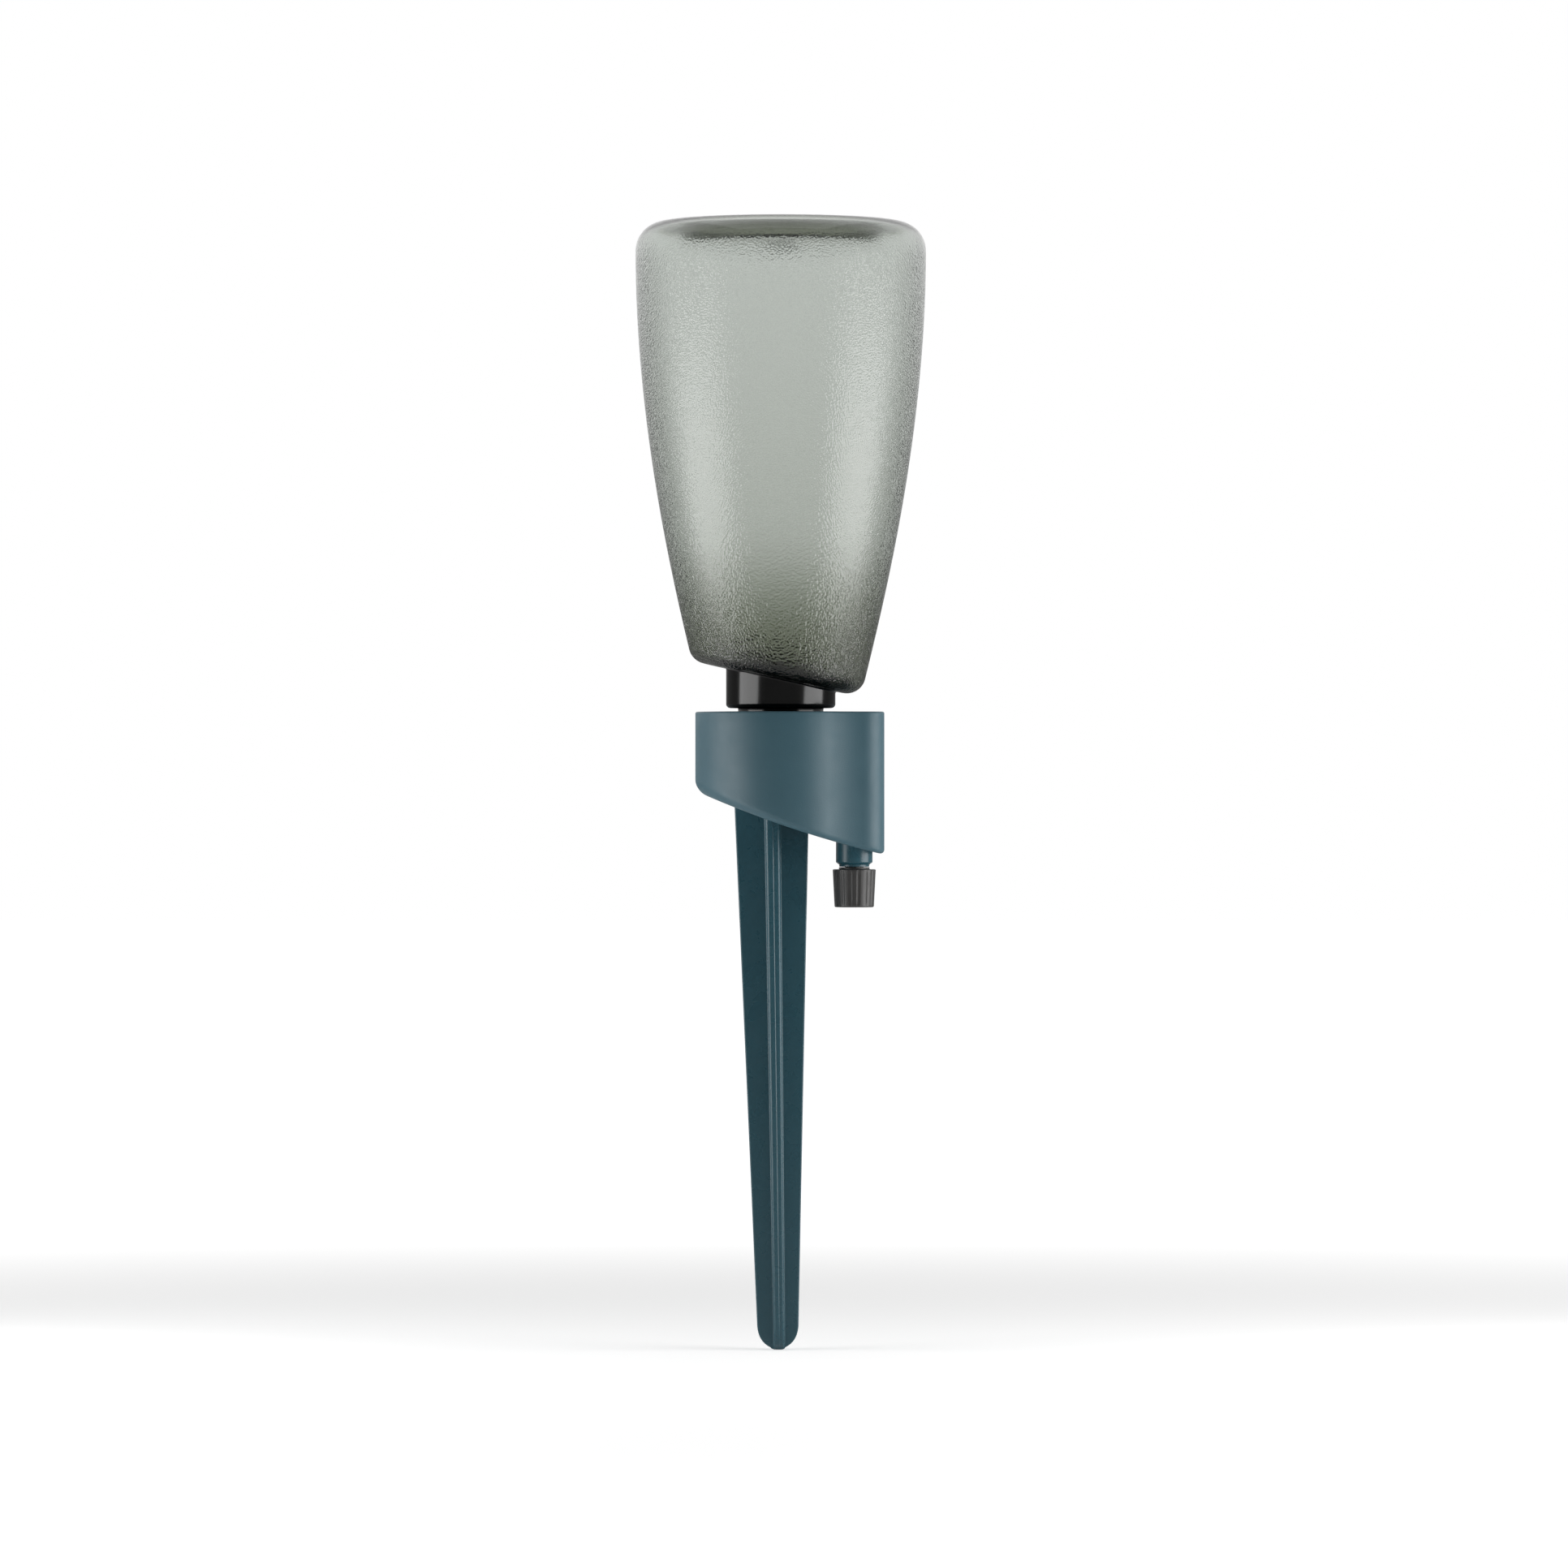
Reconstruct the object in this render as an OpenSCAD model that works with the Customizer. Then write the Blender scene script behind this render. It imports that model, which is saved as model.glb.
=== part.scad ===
// Drip watering spike: an upturned bottle screws into a hollow, slanted head on a long stake.
// The water runs from the bottle's mouth into the head, and drips from a needle valve under
// the head's nose. The knob of the valve sets the drip.
// Millimetres, +Z up, +X towards the valve. The origin is on the bottle's axis, at the level
// of the soil that the stake stands in.

/* [Whole] */
// Height from the stake's tip to the bottle's highest edge
total_h = 330; // [325:1:340]
// Depth of the stake's tip below the soil
soil_depth = 110; // [100:1:120]

/* [Bottle] */
// Widest diameter of the bottle
bottle_d = 85; // [80:1:90]
// Height of the bottle with its threaded mouth
bottle_h = 155; // [150:1:160]
// Wall of the bottle
bottle_wall = 1.8; // [1.4:0.1:2.2]
// Diameter of the bottle's body at the lowest point of its shoulder
foot_d = 46.9; // [44:0.1:50]
// Radius of the rounding between the bottle's side and its base
rim_round = 8.5; // [7:0.5:10]
// Width of the flat ring that the bottle stands on while it is filled
base_ring_w = 3; // [2:0.5:4]
// Width of the slope between the flat ring and the sunk base
base_slope_w = 4; // [3:0.5:5]
// Depth of the sunk base at its edge
base_depth = 5; // [4:0.5:6]
// How much deeper the sunk base is in its middle
base_dome = 1.2; // [0.6:0.1:2]
// Diameter of the thick spot that moulding leaves in the middle of the base
gate_d = 9.5; // [7:0.5:12]
// Thickness that the spot adds
gate_t = 1; // [0.6:0.1:1.4]
// Slant of the shoulder in degrees, lower towards the valve
shoulder_tilt = 12; // [9:1:14]
// Radius of the rounding along the shoulder's edge
shoulder_round = 5.5; // [4.5:0.5:6.5]
// Diameter of the plain neck
neck_d = 32; // [31:0.5:34]
// Height of the plain neck on the bottle's axis
neck_h = 8.3; // [7.5:0.1:10]
// Thickness of the neck's flat underside
neck_floor_t = 2.9; // [2:0.1:3.4]
// Radius of the rounding at the neck's lower edge
neck_round = 1; // [0.6:0.1:1.4]

/* [Threaded mouth] */
// Diameter of the bottle's mouth under its thread
mouth_d = 25; // [24:0.5:26]
// Bore of the bottle's mouth
mouth_bore_d = 21.6; // [20:0.2:22]
// Height of the thread on the mouth
thread_h = 1.1; // [0.9:0.1:1.2]
// Distance from one turn of the thread to the next
thread_pitch = 3; // [2.8:0.1:3.2]
// Turns of thread on the mouth and in the cup
thread_turns = 2.25; // [1.5:0.25:2.25]
// Height of the thread's first turn above the lip
thread_start = 1.3; // [1.2:0.1:1.5]
// Gap between each thread's crest and the wall that it faces
thread_gap = 0.5; // [0.4:0.1:0.6]

/* [Head] */
// Diameter of the head round the bottle's axis
head_d = 50; // [49:0.5:55]
// Reach of the head's nose from the bottle's axis
head_reach = 30.2; // [29.4:0.2:33]
// Width of the head's blunt nose
nose_w = 33; // [31:0.5:34]
// Radius of the nose's two corners
nose_r = 7; // [6:0.2:8]
// Radius of the hollow flanks between the nose and the round back
flank_r = 30; // [26:1:36]
// Height of the head at its back, away from the valve
head_back_h = 23.1; // [22.6:0.5:24.6]
// Height of the head at its nose
head_nose_h = 41.7; // [40.7:0.5:43.7]
// How far the underside hangs below a straight slope
under_sag = 1.35; // [0.8:0.05:2]
// Size of the rounding at the lower corner of the back
back_round = 3.2; // [2:0.2:4]
// Size of the rounding at the lower corner of the nose
nose_round = 1.4; // [1:0.2:3]
// Wall of the head
head_wall = 2.2; // [1.8:0.1:2.6]
// Width of the ledge that the cover plate sits on
ledge_w = 1; // [0.8:0.1:1.2]
// Thickness of the cover plate
cover_t = 2; // [1.6:0.1:2.4]
// Depth from the head's top to the bottle's lip
socket_depth = 11.6; // [11.2:0.1:13]
// Gap between the head's top and the neck of the bottle
neck_gap = 1.1; // [0.8:0.1:2]
// Wall of the cup that the bottle screws into
cup_wall = 2.4; // [2:0.1:3]
// Floor of the cup
cup_floor_t = 2; // [1.6:0.1:2.4]
// Clearance between pieces that are pressed or welded together
fit_gap = 0.05; // [0.03:0.01:0.08]

/* [Washer and strainer] */
// Thickness of the neck washer
washer_t = 1.5; // [1.2:0.1:2]
// How far the washer shows inside the bottle's mouth
washer_lap = 1; // [0.5:0.1:1.2]
// Diameter of the inlet strainer
strainer_d = 16; // [15:0.5:17]
// Thickness of the strainer
strainer_t = 0.8; // [0.6:0.1:1]
// Width of the rim round the strainer's mesh
strainer_rim = 2; // [1.5:0.1:2.4]
// Width of a hole in the mesh
mesh_hole = 0.9; // [0.7:0.1:1]
// Distance from one hole to the next
mesh_pitch = 1.6; // [1.5:0.1:1.8]

/* [Stake] */
// Reach of the stake's blade at the head, from the bottle's axis to the back
blade_back = 13.3; // [12:0.1:14]
// Reach of the blade at the head, from the bottle's axis to the front
blade_front = 8.1; // [7:0.1:9]
// Reach of the blade to the back where its tip starts
tip_back = 6.9; // [6:0.1:8]
// Reach of the blade to the front where its tip starts
tip_front = 5.2; // [4.6:0.1:6.5]
// Height of the rounded tip
tip_h = 6.9; // [6:0.1:9]
// Thickness of the blade
blade_t = 3; // [2.4:0.2:3.6]
// Width at the head of the rib that crosses the blade
rib_t = 4.2; // [3.4:0.1:4.6]
// Width of the rib where the tip starts
rib_tip_t = 2.9; // [2.4:0.1:3.4]
// Depth of the rib at the head, over both of its halves
rib_depth = 21; // [18:0.5:23]
// Depth of the rib where the tip starts
rib_tip_depth = 12; // [10:0.5:13]
// Distance of the rib behind the bottle's axis at the head
rib_back = 2.4; // [2:0.1:3]
// Distance of the rib behind the bottle's axis where the tip starts
rib_tip_back = 0.5; // [0.2:0.1:1]
// Diameter of the round peg on the stake's top
peg_d = 9; // [8:0.5:10]
// Length of the peg
peg_h = 11; // [9:0.5:11.5]

/* [Valve] */
// Distance from the tip of the nose back to the valve's axis
valve_inset = 8.7; // [8.4:0.1:9.4]
// Diameter of the nipple
nipple_d = 10.7; // [10:0.1:11.2]
// How far the nipple reaches below the head's lowest point
nipple_drop = 2.3; // [2:0.1:4]
// Diameter of the nipple's end face
nipple_end_d = 8.8; // [8.2:0.1:9.2]
// Height of the slope down to the end face
nipple_slope_h = 0.7; // [0.5:0.1:1]
// Height of the narrow end
nipple_end_h = 0.6; // [0.4:0.1:1]
// Depth of the threaded part of the nipple's bore
valve_thread_depth = 5.5; // [5.3:0.1:6]
// Bore of the smooth part, which the O-ring slides in
seal_bore_d = 4.8; // [4.6:0.1:5]
// Height of the smooth part
seal_bore_h = 7.2; // [7:0.1:8]
// Diameter of the needle under its thread
needle_core_d = 5.4; // [5.2:0.1:5.6]
// Height of the thread on the needle
needle_thread_h = 0.4; // [0.3:0.05:0.45]
// Distance from one turn of the needle's thread to the next
needle_pitch = 1.25; // [1.15:0.05:1.3]
// Turns of thread on the needle and in the nipple
needle_turns = 3.2; // [2.4:0.1:3.2]
// Gap between each of these threads' crests and the wall that it faces
needle_thread_gap = 0.2; // [0.15:0.05:0.25]
// Thickness of the needle seat
seat_t = 1.5; // [1.2:0.1:2]
// Hole of the needle seat
seat_hole_d = 2.2; // [1.8:0.1:2.6]
// Half of the angle of the needle's cone, in degrees
cone_angle = 25; // [22:1:30]
// Diameter of the blunt end of the cone
cone_tip_d = 0.5; // [0.4:0.1:0.8]
// Gap between the needle's smooth stem and the bore
stem_gap = 0.2; // [0.1:0.05:0.25]
// Diameter of the O-ring's cord
oring_cord_d = 0.9; // [0.8:0.05:1]
// Diameter of the water way through the needle
outlet_d = 1.6; // [1.2:0.1:2]
// Diameter of the cross hole that lets water into the needle
cross_hole_d = 0.8; // [0.6:0.1:1]

/* [Knob] */
// Diameter of the knob at its top
knob_top_d = 12.6; // [12:0.1:13.4]
// Diameter of the knob at its lower end
knob_end_d = 11.5; // [11:0.1:12]
// Height of the knob without its collar
knob_h = 11.1; // [10:0.1:13]
// Diameter of the collar on the knob's top
collar_d = 9; // [8.4:0.1:9.4]
// Height of the collar
collar_h = 0.6; // [0.4:0.1:1]
// Gap between the collar and the nipple while the valve is shut
knob_gap = 0.15; // [0.1:0.05:0.3]
// Size of the rounding at the knob's lower edge
knob_round = 0.8; // [0.4:0.1:1]
// Number of grip grooves round the knob
groove_count = 16; // [12:2:20]
// Width of a grip groove
groove_w = 1.4; // [1:0.1:1.6]
// Depth of a grip groove
groove_depth = 0.25; // [0.15:0.05:0.35]
// Depth of the hollow under the knob
knob_hollow_h = 1.2; // [0.8:0.1:1.6]
// Diameter of the hollow under the knob
knob_hollow_d = 8; // [7.4:0.1:8.6]

/* [Hidden] */
$fn = 96;

// How far a cut runs past the face that it opens
overrun = 1;
// Segments in a long curve and in a rounding
curve_steps = 20;
round_steps = 8;

// Levels, from the top down
top_z = total_h - soil_depth;
tip_z = -soil_depth;
lip_z = top_z - bottle_h;
head_z = lip_z + socket_depth;
neck_z = head_z + neck_gap;
shoulder_z = neck_z + neck_h;
cup_floor_z = lip_z - washer_t;
cup_z = cup_floor_z - cup_floor_t;
nipple_z = head_z - head_nose_h - nipple_drop;
nipple_end_z = nipple_z - nipple_slope_h - nipple_end_h;

// Bottle: the side is a cubic curve from the rim down to the foot
bottle_r = bottle_d / 2;
foot_r = foot_d / 2;
neck_r = neck_d / 2;
mouth_r = mouth_d / 2;
mouth_bore_r = mouth_bore_d / 2;
gate_r = gate_d / 2;
rim_z = top_z - rim_round;
shoulder_drop = foot_r * tan(shoulder_tilt);
foot_z = shoulder_z - shoulder_drop;
side_share = [[1, 1], [1, 0.56], [0.26, 0.16], [0, 0]];
side_curve = [for (s = side_share)
    [foot_r + s[0] * (bottle_r - foot_r), foot_z + s[1] * (rim_z - foot_z)]];
ring_r = bottle_r - rim_round - base_ring_w;
base_r = ring_r - base_slope_w;
base_slope = atan2(base_depth, base_slope_w);

// Shoulder: the rounding runs round an axis that stands square on the slanted shoulder
foot_flare = atan2(side_curve[2][0] - side_curve[3][0], side_curve[2][1] - side_curve[3][1]);
flare_share = tan(foot_flare) * tan(shoulder_tilt);
back_r = foot_r * (1 + flare_share) / (1 - flare_share);
shoulder_x = (foot_r - back_r) / 2;
shoulder_r = (foot_r + back_r) / 2 / cos(shoulder_tilt);
flare_margin = 1.5;
shoulder_flare = foot_flare + shoulder_tilt + flare_margin;
shoulder_round_r = shoulder_r + shoulder_round * (tan(shoulder_flare) - 1 / cos(shoulder_flare));

// Threads: widths at the root and at the crest, as shares of the pitch
outer_thread_share = [0.63, 0.37];
inner_thread_share = [0.5, 0.23];
// Share of a turn over which a thread rises from nothing
lead_share = 0.12;
// How far a thread's root is let into its wall
thread_bite = 0.3;
needle_bite = 0.15;
cup_bore_r = mouth_r + thread_h + thread_gap;
cup_r = cup_bore_r + cup_wall;

// Head: each flank is an arc that touches the round back and one corner of the nose. Its
// centre lies so far along and across the line from the axis to the corner's centre
head_r = head_d / 2;
corner = [head_reach - nose_r, nose_w / 2 - nose_r];
corner_way = norm(corner);
flank_along = (pow(head_r + flank_r, 2) - pow(nose_r + flank_r, 2)) / (2 * corner_way) + corner_way / 2;
flank_across = sqrt(pow(head_r + flank_r, 2) - pow(flank_along, 2));
flank = (flank_along * corner + flank_across * [-corner[1], corner[0]]) / corner_way;
cover_inset = head_wall - ledge_w + fit_gap;

// Stake and its peg
blade_z = under_z(0);
tip_start_z = tip_z + tip_h;
tip_x = (tip_front - tip_back) / 2;
tip_share = [[1, 1], [0.95, 0.49], [0.68, 0.13], [0, 0]];
peg_x = -rib_back;
peg_r = peg_d / 2;
peg_top_z = under_z(peg_x) + peg_h;
boss_r = peg_r + head_wall;
boss_top_z = peg_top_z + fit_gap + head_wall;

// Valve: the seat sits at the top of the nipple's bore
valve_x = head_reach - valve_inset;
nipple_r = nipple_d / 2;
seal_bore_r = seal_bore_d / 2;
seal_z = nipple_end_z + valve_thread_depth;
seat_z = seal_z + seal_bore_h;
seat_hole_r = seat_hole_d / 2;
inlet_r = (seal_bore_r + seat_hole_r) / 2;
tower_z = seat_z + seat_t + seat_t / 2;
needle_core_r = needle_core_d / 2;
valve_bore_r = needle_core_r + needle_thread_h + needle_thread_gap;
needle_thread_z = nipple_end_z + needle_pitch / 3;
stem_r = seal_bore_r - stem_gap;
cone_share = tan(cone_angle);
cone_tip_r = cone_tip_d / 2;
touch_r = seat_hole_r - fit_gap / 2;
cone_tip_z = seat_z + (touch_r - cone_tip_r) / cone_share;
cone_base_z = seat_z - (stem_r - touch_r) / cone_share;
cross_hole_z = cone_base_z - cross_hole_d;
groove_r = seal_bore_r - oring_cord_d - fit_gap;
groove_h = oring_cord_d + 4 * fit_gap;
groove_top_z = cross_hole_z - cross_hole_d;
groove_z = groove_top_z - groove_h;
needle_shank_z = seal_z - stem_gap * 2;

// Knob: its collar lies against the nipple while the valve is shut
collar_z = nipple_end_z - knob_gap;
knob_top_z = collar_z - collar_h;
knob_z = knob_top_z - knob_h;
knob_top_r = knob_top_d / 2;
knob_end_r = knob_end_d / 2;
nozzle_r = (outlet_d / 2 + needle_core_r) / 2;
needle_end_z = knob_z + knob_hollow_h;
nozzle_z = knob_z + knob_hollow_h / 4;
groove_cutter_r = (pow(groove_w / 2, 2) + pow(groove_depth, 2)) / (2 * groove_depth);
groove_lean = atan2(knob_top_r - knob_end_r, knob_h);

// Point on a cubic curve with four control points
function curve_at(c, t) =
    pow(1 - t, 3) * c[0] + 3 * pow(1 - t, 2) * t * c[1] + 3 * (1 - t) * t * t * c[2] + pow(t, 3) * c[3];

// Direction of that curve
function curve_run(c, t) =
    pow(1 - t, 2) * (c[1] - c[0]) + 2 * (1 - t) * t * (c[2] - c[1]) + t * t * (c[3] - c[2]);

// Point beside that curve, to the right of its run
function beside_curve(c, t, gap) =
    let (run = curve_run(c, t), side = [run[1], -run[0]])
    curve_at(c, t) + gap * side / norm(side);

// Points on an arc
function arc(centre, r, from, to) =
    [for (i = [0:round_steps]) let (a = from + (to - from) * i / round_steps)
        centre + r * [cos(a), sin(a)]];

// Points that round a corner between two points
function rounded_corner(before, corner, after) =
    let (curve = [before, (before + 2 * corner) / 3, (after + 2 * corner) / 3, after])
    [for (i = [0:round_steps]) curve_at(curve, i / round_steps)];

// Height of the head's underside along X
function under_z(x) =
    let (t = (x + head_d / 2) / (head_d / 2 + head_reach))
    lip_z + socket_depth - head_back_h - (head_nose_h - head_back_h) * t - 4 * under_sag * t * (1 - t);

// Outline of the bottle's body in the plane of its axis, moved inwards by a wall
function body_outline(wall) =
    let (
        shift = wall * tan(base_slope / 2),
        floor_z = top_z - base_depth - wall,
        end = beside_curve(side_curve, 1, wall),
        run = curve_run(side_curve, 1)
    )
    concat(
        [for (i = [0:round_steps]) let (s = i / round_steps)
            [(base_r + shift) * s, floor_z - base_dome * (1 - s * s)]],
        [[ring_r + shift, top_z - wall]],
        [for (i = [0:round_steps]) arc([bottle_r - rim_round, rim_z], rim_round - wall, 90, 0)[i]],
        [for (i = [1:curve_steps]) beside_curve(side_curve, i / curve_steps, wall)],
        [end + run / norm(run) * shoulder_drop],
        [[0, end[1] + run[1] / norm(run) * shoulder_drop]]
    );

// Space above the slanted shoulder, with the rounding along its edge, moved inwards by a wall
module shoulder_space(wall) {
    centre = [shoulder_round_r, shoulder_round];
    start = centre + (shoulder_round - wall) * [cos(shoulder_flare), -sin(shoulder_flare)];
    far = start + bottle_h * [tan(shoulder_flare), 1];
    translate([shoulder_x, 0, shoulder_z - shoulder_x * tan(shoulder_tilt)])
        rotate([0, shoulder_tilt, 0])
            rotate_extrude()
                polygon(concat(
                    [[0, wall]],
                    arc(centre, shoulder_round - wall, -90, -shoulder_flare),
                    [far, [0, far[1]]]
                ));
}

// One helical ridge from a buried root to its crest. It points outwards where the crest is
// wider than the root, and inwards where it is narrower
module thread_ridge(root_r, crest_r, pitch, turns, width_share, steps) {
    count = round(turns * steps);
    lead = lead_share * steps;
    inwards = crest_r < root_r;
    sides = [[0, -1], [1, -1], [1, 1], [0, 1]];
    points = [for (i = [0:count], s = sides)
        let (
            rise = max(lead_share, min(1, i / lead, (count - i) / lead)),
            r = root_r + s[0] * rise * (crest_r - root_r),
            z = pitch * (i / steps + s[1] * width_share[s[0]] / 2),
            a = 360 * i / steps
        )
        [r * cos(a), r * sin(a), z]];
    walls = [for (i = [0:count - 1], k = [0:3])
        let (a = 4 * i + k, b = 4 * i + (k + 1) % 4)
        each [[a, b, b + 4], [a, b + 4, a + 4]]];
    last = 4 * count;
    ends = [[0, 2, 1], [0, 3, 2], [last, last + 1, last + 2], [last, last + 2, last + 3]];
    faces = concat(walls, ends);
    polyhedron(
        points = points,
        faces = inwards ? [for (f = faces) [f[0], f[2], f[1]]] : faces
    );
}

// The head's outline seen from above, moved inwards
module head_plan(inset) {
    front = head_reach - inset;
    circle(r = head_r - inset);
    polygon([[0, 0], corner, [front, corner[1]], [front, -corner[1]], [corner[0], -corner[1]]]);
    for (side = [-1, 1]) {
        translate([corner[0], side * corner[1]])
            circle(r = nose_r - inset);
        difference() {
            polygon([[0, 0], [corner[0], side * corner[1]], [flank[0], side * flank[1]]]);
            translate([flank[0], side * flank[1]])
                circle(r = flank_r + inset);
        }
    }
}

// A shape drawn in X and Z, drawn out along Y
module side_view(depth) {
    rotate([90, 0, 0])
        linear_extrude(height = depth, center = true)
            children();
}

// Everything above the head's underside, raised by a wall
module above_underside(raise) {
    from_x = -head_r - overrun;
    to_x = head_reach + overrun;
    top = head_z + overrun;
    side_view(head_d + 2 * overrun)
        polygon(concat(
            [for (i = [0:curve_steps]) let (x = from_x + (to_x - from_x) * i / curve_steps)
                [x, under_z(x) + raise]],
            [[to_x, top], [from_x, top]]
        ));
}

// The head as a solid block, with its two lower corners rounded
module head_block() {
    from_x = -head_r + back_round;
    to_x = head_reach - nose_round;
    nose_corner = [head_reach, under_z(head_reach)];
    back_corner = [-head_r, under_z(-head_r)];
    intersection() {
        translate([0, 0, nipple_z])
            linear_extrude(height = head_z - nipple_z)
                head_plan(0);
        side_view(head_d + 2 * overrun)
            polygon(concat(
                [[-head_r - overrun, head_z + overrun], [-head_r - overrun, back_corner[1] + back_round]],
                rounded_corner(back_corner + [0, back_round], back_corner, [from_x, under_z(from_x)]),
                [for (i = [1:curve_steps - 1]) let (x = from_x + (to_x - from_x) * i / curve_steps)
                    [x, under_z(x)]],
                rounded_corner([to_x, under_z(to_x)], nose_corner, nose_corner + [0, nose_round]),
                [
                    [head_reach + overrun, nose_corner[1] + nose_round],
                    [head_reach + overrun, head_z + overrun]
                ]
            ));
    }
}

// The cross section of the stake, drawn from the head's top to the tip
module stake_cross() {
    rise = head_z - blade_z;
    length = blade_z - tip_start_z;
    grow = [blade_back - tip_back, blade_front - tip_front, (rib_depth - rib_tip_depth) / 2,
        rib_back - rib_tip_back, (rib_t - rib_tip_t) / 2] * rise / length;
    tip = [for (i = [0:round_steps]) curve_at(tip_share, i / round_steps)];
    half = (tip_front + tip_back) / 2;
    side_view(blade_t)
        polygon(concat(
            [[-blade_back - grow[0], head_z], [blade_front + grow[1], head_z]],
            [for (p = tip) [tip_x + p[0] * half, tip_z + p[1] * tip_h]],
            [for (i = [round_steps - 1:-1:0]) [tip_x - tip[i][0] * half, tip_z + tip[i][1] * tip_h]]
        ));
    intersection() {
        rotate([90, 0, 90])
            linear_extrude(height = head_d, center = true)
                polygon(concat(
                    [[-rib_depth / 2 - grow[2], head_z], [rib_depth / 2 + grow[2], head_z]],
                    [for (p = tip) [p[0] * rib_tip_depth / 2, tip_z + p[1] * tip_h]],
                    [for (i = [round_steps - 1:-1:0])
                        [-tip[i][0] * rib_tip_depth / 2, tip_z + tip[i][1] * tip_h]]
                ));
        side_view(head_d)
            polygon([
                [-rib_back - grow[3] - rib_t / 2 - grow[4], head_z],
                [-rib_back - grow[3] + rib_t / 2 + grow[4], head_z],
                [-rib_tip_back + rib_tip_t / 2, tip_start_z],
                [-rib_tip_back + rib_tip_t / 2, tip_z],
                [-rib_tip_back - rib_tip_t / 2, tip_z],
                [-rib_tip_back - rib_tip_t / 2, tip_start_z]
            ]);
    }
}

module bottle() {
    neck_top_z = shoulder_z + neck_r * tan(shoulder_tilt) + bottle_wall / 2;
    neck_bore_r = neck_r - bottle_wall;
    color([0.62, 0.65, 0.62, 0.6])
        difference() {
            union() {
                intersection() {
                    rotate_extrude()
                        polygon(body_outline(0));
                    shoulder_space(0);
                }
                rotate_extrude()
                    polygon(concat(
                        [[0, lip_z], [mouth_r, lip_z], [mouth_r, neck_z]],
                        arc([neck_r - neck_round, neck_z + neck_round], neck_round, -90, 0),
                        [[neck_r, neck_top_z], [0, neck_top_z]]
                    ));
                translate([0, 0, lip_z + thread_start])
                    thread_ridge(mouth_r - thread_bite, mouth_r + thread_h, thread_pitch, thread_turns,
                        outer_thread_share, 24);
            }
            intersection() {
                difference() {
                    rotate_extrude()
                        polygon(body_outline(bottle_wall));
                    translate([0, 0, top_z - base_depth - base_dome - bottle_wall - gate_t])
                        cylinder(r = gate_r, h = base_depth);
                }
                shoulder_space(bottle_wall);
            }
            rotate_extrude()
                polygon([
                    [0, lip_z - overrun],
                    [mouth_bore_r, lip_z - overrun],
                    [mouth_bore_r, neck_z + neck_floor_t],
                    [neck_bore_r, neck_z + neck_floor_t],
                    [neck_bore_r, neck_top_z + 2 * bottle_wall],
                    [0, neck_top_z + 2 * bottle_wall]
                ]);
        }
}

module neck_washer() {
    color([0.85, 0.86, 0.84])
        translate([0, 0, cup_floor_z])
            difference() {
                cylinder(r = mouth_r, h = washer_t);
                translate([0, 0, -overrun])
                    cylinder(r = mouth_bore_r - washer_lap, h = washer_t + 2 * overrun);
            }
}

module inlet_strainer() {
    mesh_r = strainer_d / 2 - strainer_rim - mesh_hole * 0.75;
    reach = floor(mesh_r / mesh_pitch);
    color([0.75, 0.76, 0.76])
        translate([0, 0, cup_floor_z - strainer_t])
            difference() {
                cylinder(d = strainer_d, h = strainer_t);
                for (i = [-reach:reach], k = [-reach:reach])
                    if (norm([i, k]) * mesh_pitch <= mesh_r)
                        translate([i * mesh_pitch, k * mesh_pitch, strainer_t / 2])
                            cube([mesh_hole, mesh_hole, strainer_t + 2 * overrun], center = true);
            }
}

module socket_cover() {
    color([0.33, 0.45, 0.5]) {
        difference() {
            union() {
                translate([0, 0, head_z - cover_t])
                    linear_extrude(height = cover_t)
                        head_plan(cover_inset);
                translate([0, 0, cup_z])
                    cylinder(r = cup_r, h = head_z - cover_t / 2 - cup_z);
            }
            translate([0, 0, cup_floor_z])
                cylinder(r = cup_bore_r, h = head_z + overrun - cup_floor_z);
            translate([0, 0, cup_floor_z - strainer_t])
                cylinder(r = strainer_d / 2 + fit_gap, h = strainer_t + overrun);
            translate([0, 0, cup_z - overrun])
                cylinder(r = strainer_d / 2 - strainer_rim, h = cup_floor_t + 2 * overrun);
        }
        translate([0, 0, lip_z + thread_start + thread_pitch / 2])
            thread_ridge(cup_bore_r + thread_bite, mouth_r + thread_gap, thread_pitch, thread_turns,
                inner_thread_share, 24);
    }
}

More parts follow.
